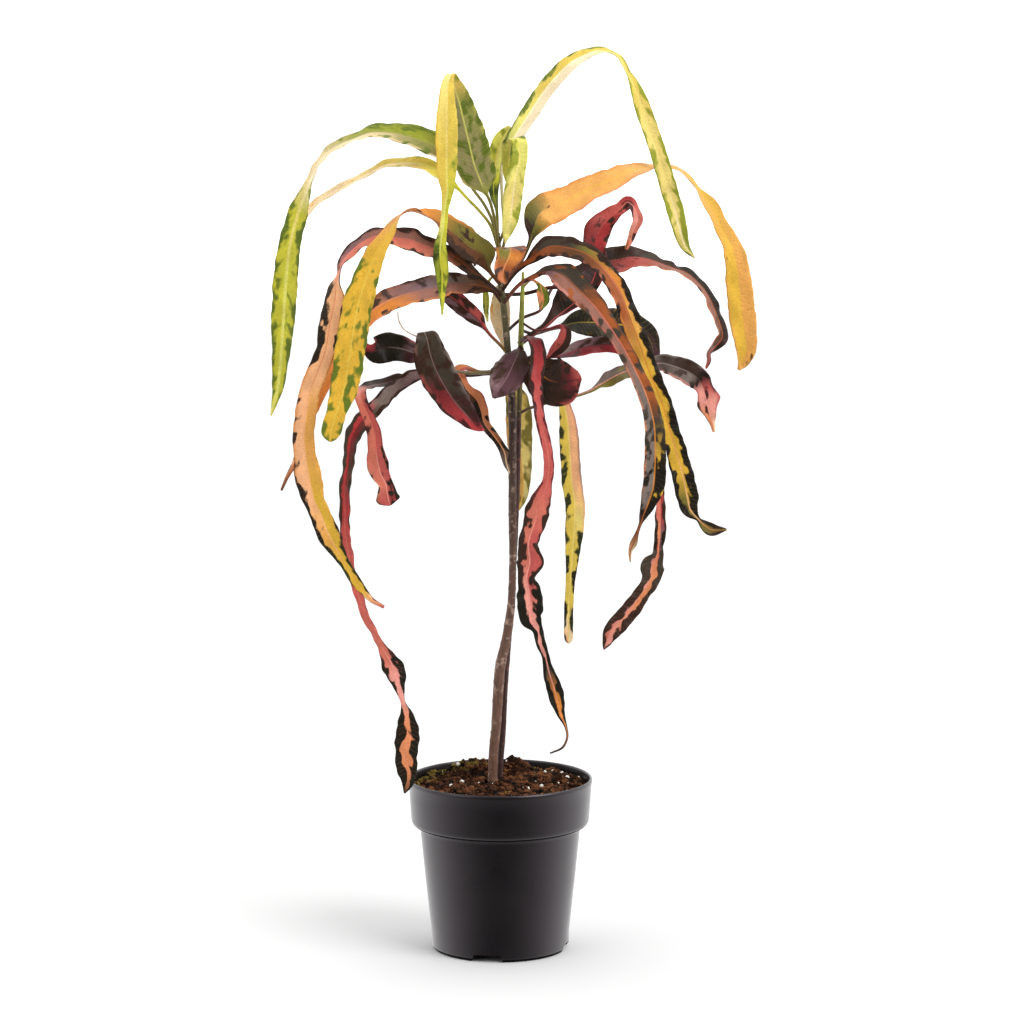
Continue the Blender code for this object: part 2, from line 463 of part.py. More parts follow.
def material(name):
    """A plain Principled material in one of the named colours."""
    found = bpy.data.materials.get(name)
    if found:
        return found
    red, green, blue, roughness = COLOURS[name]
    made = bpy.data.materials.new(name)
    made.use_nodes = True
    shader = made.node_tree.nodes["Principled BSDF"]
    shader.inputs["Base Color"].default_value = (red, green, blue, 1.0)
    shader.inputs["Roughness"].default_value = roughness
    shader.inputs["Metallic"].default_value = 0.0
    return made


def link_mesh(name, bm, colour, sharp_angle=40.0):
    """Turn a bmesh into a named object whose sharp edges stay sharp."""
    bmesh.ops.recalc_face_normals(bm, faces=bm.faces)
    mesh = bpy.data.meshes.new(name)
    bm.to_mesh(mesh)
    bm.free()
    mesh.shade_smooth()
    mesh.set_sharp_from_angle(angle=math.radians(sharp_angle))
    thing = bpy.data.objects.new(name, mesh)
    bpy.context.collection.objects.link(thing)
    if colour:
        mesh.materials.append(material(colour))
    return thing


def loft(rings):
    """A bmesh skin over a list of closed rings of points (metres), capped at both ends."""
    bm = bmesh.new()
    loops = [[bm.verts.new(point) for point in ring] for ring in rings]
    for near, far in zip(loops, loops[1:]):
        count = len(near)
        for i in range(count):
            j = (i + 1) % count
            bm.faces.new((near[i], near[j], far[j], far[i]))
    bm.faces.new(loops[0])
    bm.faces.new(loops[-1])
    bmesh.ops.triangulate(bm, faces=bm.faces, quad_method="SHORT_EDGE")
    return bm


def directions(points):
    """Unit tangents along a route, each from the two neighbours of its point."""
    last = len(points) - 1
    return [(points[min(i + 1, last)] - points[max(i - 1, 0)]).normalized() for i in range(last + 1)]


# ---------------------------------------------------------------- pot
def turned(profile, segments):
    """A closed solid turned about Z from a profile of (radius, height) that starts and ends on the axis."""
    bm = bmesh.new()
    rings = []
    for radius, height in profile:
        if radius == 0.0:
            rings.append([bm.verts.new((0.0, 0.0, height * MM))])
            continue
        ring = []
        for i in range(segments):
            turn = 2.0 * math.pi * i / segments
            ring.append(bm.verts.new((radius * MM * math.cos(turn), radius * MM * math.sin(turn), height * MM)))
        rings.append(ring)
    for lower, upper in zip(rings, rings[1:]):
        for i in range(segments):
            j = (i + 1) % segments
            if len(lower) == 1:
                bm.faces.new((lower[0], upper[j], upper[i]))
            elif len(upper) == 1:
                bm.faces.new((lower[i], lower[j], upper[0]))
            else:
                bm.faces.new((lower[i], lower[j], upper[j], upper[i]))
    return bm


def pot_outside():
    """Outer profile of the pot, from the middle of the base up to the rim."""
    collar_foot = POT_HEIGHT - POT_COLLAR_HEIGHT
    return [
        (0.0, 0.0),
        (BASE_PAD_RADIUS, 0.0),
        (BASE_PAD_RADIUS + 2.0, BASE_RAISED),
        (POT_FOOT_RADIUS - 5.7, BASE_RAISED),
        (POT_FOOT_RADIUS - 4.7, 0.0),
        (POT_FOOT_RADIUS - 1.8, 0.0),
        (POT_FOOT_RADIUS - 0.3, 2.2),
        (POT_FOOT_RADIUS, 12.0),
        (POT_NECK_RADIUS - 3.3, 45.0),
        (POT_NECK_RADIUS, collar_foot - 4.5),
        (POT_NECK_RADIUS + 2.6, collar_foot - 3.8),
        (POT_COLLAR_RADIUS - 0.8, collar_foot - 2.2),
        (POT_COLLAR_RADIUS, collar_foot),
        (POT_RIM_RADIUS - 0.3, POT_HEIGHT - 3.0),
        (POT_RIM_RADIUS, POT_HEIGHT - 1.2),
        (POT_RIM_RADIUS - 0.5, POT_HEIGHT),
    ]


def pot_inside():
    """Inner profile of the pot, from the rim down to the middle of the floor."""
    collar_foot = POT_HEIGHT - POT_COLLAR_HEIGHT
    floor = BASE_RAISED + POT_WALL
    return [
        (POT_RIM_RADIUS - POT_WALL - 0.4, POT_HEIGHT - 0.4),
        (POT_COLLAR_RADIUS - POT_WALL, collar_foot + 1.0),
        (POT_NECK_RADIUS + 1.0, collar_foot - 3.2),
        (POT_NECK_RADIUS - POT_WALL, collar_foot - 4.8),
        (POT_NECK_RADIUS - 3.3 - POT_WALL, 45.0),
        (POT_FOOT_RADIUS - POT_WALL, 12.0),
        (POT_FOOT_RADIUS - POT_WALL - 0.8, floor),
        (BASE_PAD_RADIUS + 1.0, floor),
        (BASE_PAD_RADIUS - 1.0, POT_WALL),
        (0.0, POT_WALL),
    ]


def cutter(name, bm):
    """A boolean tool: shown as wire, left out of the model."""
    tool = link_mesh(name, bm, None)
    tool.display_type = "WIRE"
    tool.hide_render = True
    return tool


def cut(thing, tool, name):
    boolean = thing.modifiers.new(name, "BOOLEAN")
    boolean.operation = "DIFFERENCE"
    boolean.solver = "EXACT"
    boolean.object = tool


def drain_hole_tool():
    """All the drain holes of the base, as one set of short cylinders."""
    bm = bmesh.new()
    depth = 4.0 * POT_WALL * MM
    for i in range(DRAIN_HOLES):
        turn = 2.0 * math.pi * (i + 0.5) / DRAIN_HOLES
        made = bmesh.ops.create_cone(
            bm, cap_ends=True, segments=14,
            radius1=DRAIN_HOLE_RADIUS * MM, radius2=DRAIN_HOLE_RADIUS * MM, depth=depth,
        )
        place = Vector((math.cos(turn), math.sin(turn), 0.0)) * DRAIN_CIRCLE_RADIUS * MM
        place.z = (BASE_RAISED + POT_WALL / 2.0) * MM
        bmesh.ops.translate(bm, verts=made["verts"], vec=place)
    return cutter("drain_hole_tool", bm)


def notch_tool():
    """The gaps in the foot ring, as one set of boxes."""
    bm = bmesh.new()
    reach = 12.0
    for i in range(NOTCHES):
        turn = math.radians(NOTCH_ANGLE + 360.0 * i / NOTCHES)
        outward = Vector((math.cos(turn), math.sin(turn), 0.0))
        across = Vector((-math.sin(turn), math.cos(turn), 0.0))
        middle = outward * (POT_FOOT_RADIUS - 1.0)
        corners = []
        for height in (-2.0, NOTCH_HEIGHT):
            for a, b in ((-1, -1), (1, -1), (1, 1), (-1, 1)):
                shrink = 1.0 if height < 0.0 else 0.8
                point = middle + outward * (a * reach / 2.0) + across * (b * shrink * NOTCH_WIDTH / 2.0)
                corners.append(bm.verts.new((point.x * MM, point.y * MM, height * MM)))
        for face in ((3, 2, 1, 0), (4, 5, 6, 7), (0, 1, 5, 4), (1, 2, 6, 5), (2, 3, 7, 6), (3, 0, 4, 7)):
            bm.faces.new([corners[k] for k in face])
    return cutter("notch_tool", bm)


def build_pot():
    pot = link_mesh("pot", turned(pot_outside() + pot_inside(), POT_SEGMENTS), "pot")
    cut(pot, drain_hole_tool(), "drain_holes")
    cut(pot, notch_tool(), "foot_notches")


# ---------------------------------------------------------------- soil
def soil_height(x, y):
    """Height of the soil's surface over a point of the pot, in millimetres."""
    radius = math.hypot(x, y)
    height = SOIL_LEVEL + SOIL_RISE * math.exp(-((radius / 30.0) ** 2))
    for mx, my, size, rise in MOUNDS:
        height += rise * math.exp(-((x - mx) ** 2 + (y - my) ** 2) / (size * 0.6) ** 2)
    height += 0.5 * math.sin(x * 0.31 + 1.0) * math.cos(y * 0.27)
    return height


def soil_radius(height):
    """Inner wall of the pot at a height, less the clearance."""
    wall = [(radius, z) for radius, z in reversed(pot_inside()) if z >= BASE_RAISED + POT_WALL and radius > 30.0]
    for (r1, z1), (r2, z2) in zip(wall, wall[1:]):
        if z1 <= height <= z2:
            return r1 + (r2 - r1) * (height - z1) / (z2 - z1) - GAP
    return wall[-1][0] - GAP


def build_soil():
    """The root ball's outside: it fills the pot up to a crumbled, heaped surface."""
    floor = BASE_RAISED + POT_WALL + GAP
    collar_foot = POT_HEIGHT - POT_COLLAR_HEIGHT
    side_heights = (floor, 12.0, 45.0, collar_foot - 4.8, collar_foot - 3.2, collar_foot + 1.0)
    bm = bmesh.new()

    def ring(radius, height_at):
        points = []
        for i in range(SOIL_SEGMENTS):
            turn = 2.0 * math.pi * i / SOIL_SEGMENTS
            x = radius * math.cos(turn)
            y = radius * math.sin(turn)
            points.append(bm.verts.new((x * MM, y * MM, height_at(x, y) * MM)))
        return points

    loops = []
    for height in side_heights:
        loops.append(ring(soil_radius(height) - 0.35, lambda x, y, h=height: h))
    loops.append(ring(soil_radius(SOIL_LEVEL) - 0.35, soil_height))
    for radius in reversed(SOIL_RINGS[1:]):
        loops.append(ring(radius, soil_height))
    for lower, upper in zip(loops, loops[1:]):
        for i in range(SOIL_SEGMENTS):
            j = (i + 1) % SOIL_SEGMENTS
            bm.faces.new((lower[i], lower[j], upper[j], upper[i]))
    top = bm.verts.new((0.0, 0.0, soil_height(0.0, 0.0) * MM))
    for i in range(SOIL_SEGMENTS):
        bm.faces.new((loops[-1][i], loops[-1][(i + 1) % SOIL_SEGMENTS], top))
    bm.faces.new(loops[0])
    soil = link_mesh("soil", bm, "soil")
    for name, points in STEMS.items():
        cut(soil, socket_tool(name, points), "socket_" + name)


def socket_tool(name, points):
    """The hole that a stem grows out of: the stem's buried length with clearance all round."""
    (x1, y1, z1, w1), (x2, y2, z2, w2), (x3, y3, z3, w3) = points[:3]
    rings = [
        stem_ring(Vector((x1, y1, z1 - 2.0)), Vector((0, 0, 1)), w1 / 2.0 + GAP, 12),
        stem_ring(Vector((x2, y2, z2)), Vector((0, 0, 1)), w2 / 2.0 + GAP + 0.15, 12),
        stem_ring(Vector((x3, y3, z3)), Vector((0, 0, 1)), w3 / 2.0 + GAP + 0.15, 12),
    ]
    return cutter("socket_tool_" + name, loft(rings))


# ---------------------------------------------------------------- stems
def stem_ring(centre, along, radius, sides):
    """A ring of points (metres) round a centre (millimetres), square to a direction."""
    across = along.cross(Vector((0, 1, 0))).normalized()
    behind = along.cross(across).normalized()
    points = []
    for i in range(sides):
        turn = 2.0 * math.pi * i / sides
        points.append((centre + (across * math.cos(turn) + behind * math.sin(turn)) * radius) * MM)
    return points


def build_stem(name, points):
    middles = [Vector(point[:3]) for point in points]
    rings = []
    for middle, along, point in zip(middles, directions(middles), points):
        rings.append(stem_ring(middle, along, point[3] / 2.0, STEM_SIDES))
    link_mesh(name, loft(rings), "stem")


# ---------------------------------------------------------------- leaves
def distance_to_stem(point, stem):
    """How far a point is from a stem's axis, with the stem's radius and direction there."""
    best = None
    for start, end in zip(stem, stem[1:]):
        a = Vector(start[:3])
        b = Vector(end[:3])
        share = max(0.0, min(1.0, (point - a).dot(b - a) / (b - a).length_squared))
        away = (point - (a + (b - a) * share)).length
        if best is None or away < best[0]:
            best = (away, (start[3] + (end[3] - start[3]) * share) / 2.0, (b - a).normalized())
    return best


def leave_stem(route, stem):
    """Move a leaf's first point out from the stem's axis until its stalk clears the bark."""
    start = Vector(route[0][:3])
    after = Vector(route[1][:3])
    width = route[0][3]
    along = (after - start).normalized()
    walked = 0.0
    while walked < (after - start).length:
        point = start + along * walked
        away, radius, stem_along = distance_to_stem(point, stem)
        if away >= radius + GAP + abs(along.dot(stem_along)) * width / 2.0:
            return [(point.x, point.y, point.z, width)] + route[1:]
        walked += 0.1
    return route[1:]


def looking(bearing, tilt):
    """The direction of a bearing round the plant (0 = front, 90 = right) and a tilt above level."""
    turn = math.radians(bearing)
    rise = math.radians(tilt)
    return Vector((math.sin(turn) * math.cos(rise), -math.cos(turn) * math.cos(rise), math.sin(rise)))


def face_at(faces, index):
    """Where the upper face looks at a point of the route, between the points that state it."""
    stated = sorted(faces)
    if index <= stated[0]:
        return looking(*faces[stated[0]])
    for low, high in zip(stated, stated[1:]):
        if index <= high:
            share = (index - low) / (high - low)
            return looking(*faces[low]).lerp(looking(*faces[high]), share)
    return looking(*faces[stated[-1]])


def leaf_section(middle, along, face, width):
    """Four points round the midrib: left edge, upper side, right edge, under side."""
    up = (face - along * face.dot(along)).normalized()
    across = up.cross(along)
    half = width / 2.0
    blade = min(1.0, max(0.0, (width - PETIOLE_WIDTH) / PETIOLE_WIDTH))
    thick = max(min(half, MIDRIB_HALF_THICKNESS), half * (1.0 - blade)) if width < 2 * PETIOLE_WIDTH else 0.0
    thick = max(thick, min(half, MIDRIB_HALF_THICKNESS))
    lift = up * (half * BLADE_FOLD * blade)
    points = (middle - across * half + lift, middle + up * thick, middle + across * half + lift, middle - up * thick)
    return [point * MM for point in points]


def build_leaf(name, spec):
    dropped = len(spec["route"]) - len(leave_stem(spec["route"], STEMS[spec["stem"]]))
    route = leave_stem(spec["route"], STEMS[spec["stem"]])
    middles = [Vector(point[:3]) for point in route]
    rings = []
    for i, (middle, along) in enumerate(zip(middles, directions(middles))):
        face = face_at(spec["faces"], i + dropped)
        rings.append(leaf_section(middle, along, face, route[i][3]))
    link_mesh(name, loft(rings), LEAF_COLOURS.get(name, "maroon"))


clear_scene()
build_pot()
build_soil()
for stem_name, stem_points in STEMS.items():
    build_stem(stem_name, stem_points)
for leaf_name, leaf_spec in LEAVES.items():
    build_leaf(leaf_name, leaf_spec)
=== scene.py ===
"""Potted croton: the visible plant, pot and soil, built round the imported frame."""
import math
from contextlib import contextmanager

import bmesh
import bpy
import numpy as np
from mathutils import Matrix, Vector


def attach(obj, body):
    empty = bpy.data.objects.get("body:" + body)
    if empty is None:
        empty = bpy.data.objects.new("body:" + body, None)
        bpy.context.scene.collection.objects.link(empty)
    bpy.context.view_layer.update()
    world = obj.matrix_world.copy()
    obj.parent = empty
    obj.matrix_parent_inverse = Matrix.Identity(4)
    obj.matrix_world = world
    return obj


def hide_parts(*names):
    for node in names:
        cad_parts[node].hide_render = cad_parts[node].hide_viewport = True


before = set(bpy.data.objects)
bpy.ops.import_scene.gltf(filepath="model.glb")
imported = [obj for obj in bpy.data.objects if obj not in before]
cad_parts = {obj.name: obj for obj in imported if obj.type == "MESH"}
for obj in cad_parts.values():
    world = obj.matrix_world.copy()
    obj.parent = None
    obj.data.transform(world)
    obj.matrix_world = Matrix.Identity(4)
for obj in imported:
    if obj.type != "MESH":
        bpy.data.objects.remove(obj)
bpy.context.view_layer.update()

MM = 0.001

# ------------------------------------------------------------------ nursery pot
# A thin injection-moulded polypropylene pot, charcoal and slightly satin: a tapered wall under a
# wide stepped collar, a rounded rim, a raised drained floor and four gaps in the foot ring.
POT_OUTSIDE = [
    (0, 0), (21.4, 0), (22, 0.25), (23.6, 4.6), (24.2, 5), (39.3, 5), (39.8, 4.6), (40.4, 0.3), (40.9, 0),
    (43.0, 0), (43.9, 0.5), (44.75, 2.0), (44.95, 3.2), (45.2, 12), (46.9, 28), (48.7, 45), (50.2, 60),
    (51.5, 73), (52.0, 78.6), (52.2, 80.2), (52.7, 81.1), (53.6, 81.5), (55.2, 81.9), (56.5, 82.5),
    (57.3, 83.3), (57.8, 84.5), (58.0, 86.0), (58.4, 92), (59.0, 101),
    (59.55, 108.8), (59.85, 109.6), (60.0, 110.6), (59.95, 111.5), (59.7, 112.2), (59.3, 112.5),
]
POT_INSIDE = [
    (58.9, 112.45), (58.5, 112.1), (58.3, 111.4), (57.6, 101), (56.5, 85), (55.6, 83.4), (53, 80.8),
    (51.2, 80.0), (50.7, 79), (47.4, 45), (43.9, 12), (43.1, 6.4), (23, 6.3), (21, 1.3), (0, 1.3),
]
POT_SEGMENTS = 128
SHARP = 35.0             # degrees; a gentler edge than this is shaded smooth
GAP_BEARING = -101       # degrees; where the first gap in the foot ring is
GAP_RADIUS = 44.2        # millimetres, as below, from the middle of the pot to the middle of a gap
GAP_REACH = 6            # how far a gap runs inwards and outwards from there
GAP_SECTIONS = ((-2.0, 10.5), (3.6, 9.6), (4.7, 8.2))     # height and half width of a gap
HOLES = 8
HOLE_CIRCLE = 31         # from the middle of the pot to the middle of a drain hole
HOLE_RADIUS = 4
DRILL_HEIGHT = 5.6       # the middle of the drill that makes a hole, and how long it is
DRILL_LENGTH = 6
COLLAR_HEIGHT = 50       # above this, only the collar faces down
FOOT_HEIGHT = 7.5        # below this, and inside this radius, is the recess under the floor
FOOT_RADIUS = 44.8


def ring_of(shape, radius, height, segments):
    """A level ring of points about the middle of the pot, from millimetres."""
    reach = radius * MM
    turns = [2 * math.pi * i / segments for i in range(segments)]
    return [shape.verts.new((reach * math.cos(turn), reach * math.sin(turn), height * MM)) for turn in turns]


def skin(shape, lower, upper):
    """Faces from one ring of points to the next, either of which may be a single point."""
    count = max(len(lower), len(upper))
    for i in range(count):
        j = (i + 1) % count
        if len(lower) == 1:
            shape.faces.new((lower[0], upper[j], upper[i]))
        elif len(upper) == 1:
            shape.faces.new((lower[i], lower[j], upper[0]))
        else:
            shape.faces.new((lower[i], lower[j], upper[j], upper[i]))


def placed(name, data):
    """A mesh, lamp or camera as an object of the scene, at the origin."""
    thing = bpy.data.objects.new(name, data)
    bpy.context.collection.objects.link(thing)
    return thing


def finished_mesh(name, shape, sharp=SHARP):
    """A bmesh made into an object with smooth faces and sharp corners, at the origin."""
    bmesh.ops.recalc_face_normals(shape, faces=shape.faces)
    mesh = bpy.data.meshes.new(name)
    shape.to_mesh(mesh)
    shape.free()
    mesh.shade_smooth()
    mesh.set_sharp_from_angle(angle=math.radians(sharp))
    return placed(name, mesh)


@contextmanager
def reshaping(piece):
    """A piece's mesh as a bmesh to work on, which goes back into the piece at the end."""
    shape = bmesh.new()
    shape.from_mesh(piece.data)
    yield shape
    shape.to_mesh(piece.data)
    shape.free()


def settle(piece):
    """Replace a piece's mesh by what its modifiers make of it, and drop the modifiers."""
    made = bpy.data.meshes.new_from_object(piece.evaluated_get(bpy.context.evaluated_depsgraph_get()))
    made.name = piece.name
    piece.modifiers.clear()
    piece.data = made


def hand_over(piece, node_name):
    """A finished piece goes with the plant and stands for its plain frame solid, if it has one."""
    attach(piece, "root")
    if node_name:
        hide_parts(node_name)


def srgb(red, green, blue):
    """A colour of three 0 to 255 numbers, as light values."""
    return [((c / 255 + 0.055) / 1.055) ** 2.4 if c > 10 else c / 255 / 12.92 for c in (red, green, blue)]


def feed(tree, made, inputs):
    """Give a node its inputs by name or number: an output is linked, and a value is set."""
    for key, value in inputs.items():
        if isinstance(value, bpy.types.NodeSocket):
            tree.links.new(value, made.inputs[key])
        else:
            made.inputs[key].default_value = value


def node(tree, kind, inputs=None, **settings):
    """Add a node to a tree, with its settings and its inputs."""
    made = tree.nodes.new(kind)
    for key, value in settings.items():
        setattr(made, key, value)
    feed(tree, made, inputs or {})
    return made


class Finish:
    """A material on the way to being made, with the kinds of node that its look is built from."""

    def __init__(self, name):
        self.material = bpy.data.materials.new(name)
        self.material.use_nodes = True
        self.tree = self.material.node_tree
        self.shader = self.tree.nodes["Principled BSDF"]

    def add(self, kind, inputs=None, **settings):
        """Add a node to the material."""
        return node(self.tree, kind, inputs, **settings)

    def where(self):
        """The place on the piece, in metres."""
        return self.add("ShaderNodeTexCoord").outputs["Object"]

    def noise(self, scale, detail, roughness=0.5, at=None):
        """Soft irregular blotches over the piece, about 1 / scale metres wide."""
        inputs = {"Vector": at or self.where(), "Scale": scale, "Detail": detail, "Roughness": roughness}
        return self.add("ShaderNodeTexNoise", inputs).outputs["Fac"]

    def tones(self, amount, *stops):
        """Colours along an amount, through stops of a position and a colour each."""
        ramp = self.add("ShaderNodeValToRGB", {"Fac": amount})
        elements = ramp.color_ramp.elements
        for position, _ in stops[1:-1]:
            elements.new(position)
        for element, (position, colour) in zip(elements, stops):
            element.position = position
            element.color = (*srgb(*colour), 1)
        return ramp.outputs["Color"]

    def fit(self, value, low, high, start=0.0, end=1.0, curve="LINEAR"):
        """A value's range from low to high brought to start and end, and held beyond them."""
        inputs = {"Value": value, "From Min": low, "From Max": high, "To Min": start, "To Max": end}
        return self.add("ShaderNodeMapRange", inputs, interpolation_type=curve).outputs["Result"]

    def calc(self, operation, *values, clamp=False):
        """Arithmetic on numbers and outputs."""
        inputs = dict(enumerate(values))
        return self.add("ShaderNodeMath", inputs, operation=operation, use_clamp=clamp).outputs[0]

    def blend(self, share, first, second):
        """The first colour, with a share of the second over it."""
        return self.add("ShaderNodeMix", {0: share, 6: first, 7: second}, data_type="RGBA").outputs[2]

    def shaded(self, colour, amount):
        """A colour made lighter or darker."""
        inputs = {0: colour, "Scale": amount}
        return self.add("ShaderNodeVectorMath", inputs, operation="SCALE").outputs["Vector"]

    def surface(self, colour, roughness, gloss=0.5, relief=None, strength=1.0, depth=0.0):
        """The surface itself: its colour, how rough and glossy it is, and a relief in metres."""
        inputs = {"Base Color": colour, "Roughness": roughness, "Specular IOR Level": gloss}
        if relief is not None:
            height = {"Height": relief, "Strength": strength, "Distance": depth}
            inputs["Normal"] = self.add("ShaderNodeBump", height).outputs["Normal"]
        feed(self.tree, self.shader, inputs)


profile = bmesh.new()
pot_rings = [ring_of(profile, r, z, POT_SEGMENTS if r else 1) for r, z in POT_OUTSIDE + POT_INSIDE]
for lower, upper in zip(pot_rings, pot_rings[1:]):
    skin(profile, lower, upper)
pot = finished_mesh("nursery_pot", profile)

foot_gaps = bmesh.new()
for quarter in range(4):
    turn = math.radians(GAP_BEARING + 90 * quarter)
    outward = Vector((math.cos(turn), math.sin(turn), 0))
    across = Vector((-math.sin(turn), math.cos(turn), 0))
    corners = []
    for height, half in GAP_SECTIONS:
        for a, b in ((-1, -1), (1, -1), (1, 1), (-1, 1)):
            place = outward * (GAP_RADIUS + a * GAP_REACH) + across * (b * half)
            corners.append(foot_gaps.verts.new((place.x * MM, place.y * MM, height * MM)))
    foot_gaps.faces.new([corners[k] for k in (3, 2, 1, 0)])
    foot_gaps.faces.new([corners[k] for k in (8, 9, 10, 11)])
    for level in (0, 4):
        skin(foot_gaps, corners[level:level + 4], corners[level + 4:level + 8])
drain_holes = bmesh.new()
for i in range(HOLES):
    turn = 2 * math.pi * (i + 0.5) / HOLES
    reach = HOLE_CIRCLE * MM
    middle = (reach * math.cos(turn), reach * math.sin(turn), DRILL_HEIGHT * MM)
    drill = bmesh.ops.create_cone(drain_holes, cap_ends=True, segments=32, radius1=HOLE_RADIUS * MM,
                                  radius2=HOLE_RADIUS * MM, depth=DRILL_LENGTH * MM)
    bmesh.ops.translate(drain_holes, verts=drill["verts"], vec=middle)
cutters = [finished_mesh("foot_gap_cutter", foot_gaps), finished_mesh("drain_hole_cutter", drain_holes)]
for tool in cutters:
    cut = pot.modifiers.new(tool.name, "BOOLEAN")
    cut.operation = "DIFFERENCE"
    cut.solver = "EXACT"
    cut.object = tool
settle(pot)
for tool in cutters:
    bpy.data.objects.remove(tool, do_unlink=True)
with reshaping(pot) as shape:
    bmesh.ops.dissolve_degenerate(shape, dist=0.000001, edges=shape.edges)
pot.data.set_sharp_from_angle(angle=math.radians(SHARP))

plastic = Finish("satin_charcoal_plastic")
smears = plastic.noise(38.0, 5.0, 0.6)
plastic.surface(
    plastic.tones(smears, (0.3, (9, 7, 8)), (0.75, (17, 14, 16))),
    plastic.fit(smears, 0.3, 0.75, 0.26, 0.34),
    relief=plastic.noise(5200.0, 2.0), strength=0.2, depth=0.00005)
feed(plastic.tree, plastic.shader, {"Specular Tint": (1.0, 0.89, 0.98, 1)})
# Painted shade: the faces under the collar and in the recess under the floor get a darker, dull plastic with
# no reflections. It stands in for the shade that falls there.
underside_shade = Finish("matt_underside")
underside_shade.surface(underside_shade.tones(underside_shade.noise(120.0, 3.0), (0.0, (8, 7, 7)), (1.0, (16, 14, 14))), 0.9, 0.05)
pot.data.materials.append(plastic.material)
pot.data.materials.append(underside_shade.material)
for face in pot.data.polygons:
    x, y, z = face.center / MM
    under_collar = z > COLLAR_HEIGHT and face.normal.z < -0.5
    under_floor = z < FOOT_HEIGHT and math.hypot(x, y) < FOOT_RADIUS
    if under_collar or under_floor:
        face.material_index = 1
hand_over(pot, "pot")

# ------------------------------------------------------------------ potting soil
# Loose red-brown peat with bark crumbs and white perlite grains lying on it. It fills the pot to
# just under the rim at its edge, and is heaped a little towards the back.
SOIL_SEGMENTS = 144
SOIL_RINGS = 46
SOIL_SIDE = ((42.4, 6.7), (43.2, 12), (46.6, 45), (49.9, 78.6), (52.2, 81.4), (55.7, 85.4))
SOIL_EDGE = 57.3         # millimetres, as below; the radius at which the soil's top starts
STREWN_FROM = 98         # grains lie on the soil above this height, and inside this radius
STREWN_TO = 56.5
MOUNDS = (      # x, y, size and rise of each heap and hollow, in millimetres
    (-24, 30, 20, 7), (-13, 26, 14, 6), (7, 35, 13, 10), (17, 33, 9, 4), (34, 18, 18, 3), (-34, -8, 15, 2),
    (12, -30, 18, 1.5), (6, 21, 7, -7), (37, 6, 7, -4), (-36, 12, 8, -4), (-4, -20, 7, -3), (22, -8, 6, -3),
)


def soil_height(x, y):
    """Height of the soil over a point of the pot, in millimetres, before its crumbs."""
    height = 104.0 + 5.0 * math.exp(-((math.hypot(x, y) / 30.0) ** 2))
    height += 3.6 / (1 + math.exp(-(y - 8) / 7)) * min(1.0, math.hypot(x, y) / 30)
    for mx, my, size, rise in MOUNDS:
        height += rise * math.exp(-((x - mx) ** 2 + (y - my) ** 2) / (size * 0.6) ** 2)
    return height + 0.5 * math.sin(x * 0.31 + 1.0) * math.cos(y * 0.27)


def crumble(x, y):
    """Small lumps and hollows of the loose surface, in millimetres."""
    rough = math.sin(x * 0.9 + 1.7 * math.sin(y * 0.6)) * math.cos(y * 1.1 + 1.3 * math.sin(x * 0.8))
    fine = math.sin(x * 2.3 + y * 1.1 + 2.0) * math.sin(y * 2.7 - x * 0.7)
    return 1.15 * rough + 0.45 * fine


ground = bmesh.new()
soil_rings = [ring_of(ground, radius, height, SOIL_SEGMENTS) for radius, height in SOIL_SIDE]
for k in range(SOIL_RINGS):
    radius = SOIL_EDGE * (1 - k / SOIL_RINGS)
    looseness = min(1.0, (SOIL_EDGE - radius) / 4 + 0.3)
    ring = []
    for i in range(SOIL_SEGMENTS):
        turn = 2 * math.pi * i / SOIL_SEGMENTS
        x = radius * math.cos(turn)
        y = radius * math.sin(turn)
        ring.append(ground.verts.new((x * MM, y * MM, (soil_height(x, y) + crumble(x, y) * looseness) * MM)))
    soil_rings.append(ring)
soil_rings.append([ground.verts.new((0, 0, (soil_height(0, 0) + crumble(0, 0)) * MM))])
for lower, upper in zip(soil_rings, soil_rings[1:]):
    skin(ground, lower, upper)
ground.faces.new(list(reversed(soil_rings[0])))
soil = finished_mesh("potting_soil", ground, sharp=50.0)


def mossy(finish, patches, colour):
    """Greenish moss over a soil colour, thickest on the heap at the back left."""
    x, y, _ = finish.add("ShaderNodeSeparateXYZ", {0: finish.where()}).outputs
    back_left = finish.fit(finish.calc("MULTIPLY_ADD", x, -0.45, y), 0.018, 0.042, -0.16, 0.09)
    amount = finish.fit(finish.calc("ADD", back_left, patches), 0.50, 0.58, 0.0, 0.75)
    return finish.blend(amount, colour, (*srgb(112, 100, 40), 1))


peat = Finish("damp_peat")
clods = peat.noise(240.0, 8.0, 0.7)
# The peat's own mottled brown, plus painted shade: it darkens to near black where the relief is lowest,
# standing in for the shade in the hollows between clods.
earth_and_hollow_shade = peat.tones(clods, (0.30, (9, 5, 3)), (0.52, (42, 21, 11)), (0.72, (104, 62, 36)))
peat.surface(mossy(peat, peat.noise(48.0, 3.0), earth_and_hollow_shade), 0.95, 0.08, clods, 1.0, 0.003)
soil.data.materials.append(peat.material)

bark_crumb = Finish("bark_crumb")
mottle = bark_crumb.noise(130.0, 4.0)
chip_tone = bark_crumb.tones(mottle, (0.40, (14, 8, 5)), (0.66, (110, 68, 42)))
bark_crumb.surface(mossy(bark_crumb, mottle, chip_tone), 0.9, 0.1)

white_grain = Finish("perlite")
pits = white_grain.noise(900.0, 2.0)
chalk = white_grain.tones(pits, (0.0, (190, 182, 168)), (1.0, (240, 236, 226)))
white_grain.surface(chalk, 0.85, relief=pits, strength=0.6, depth=0.0003)


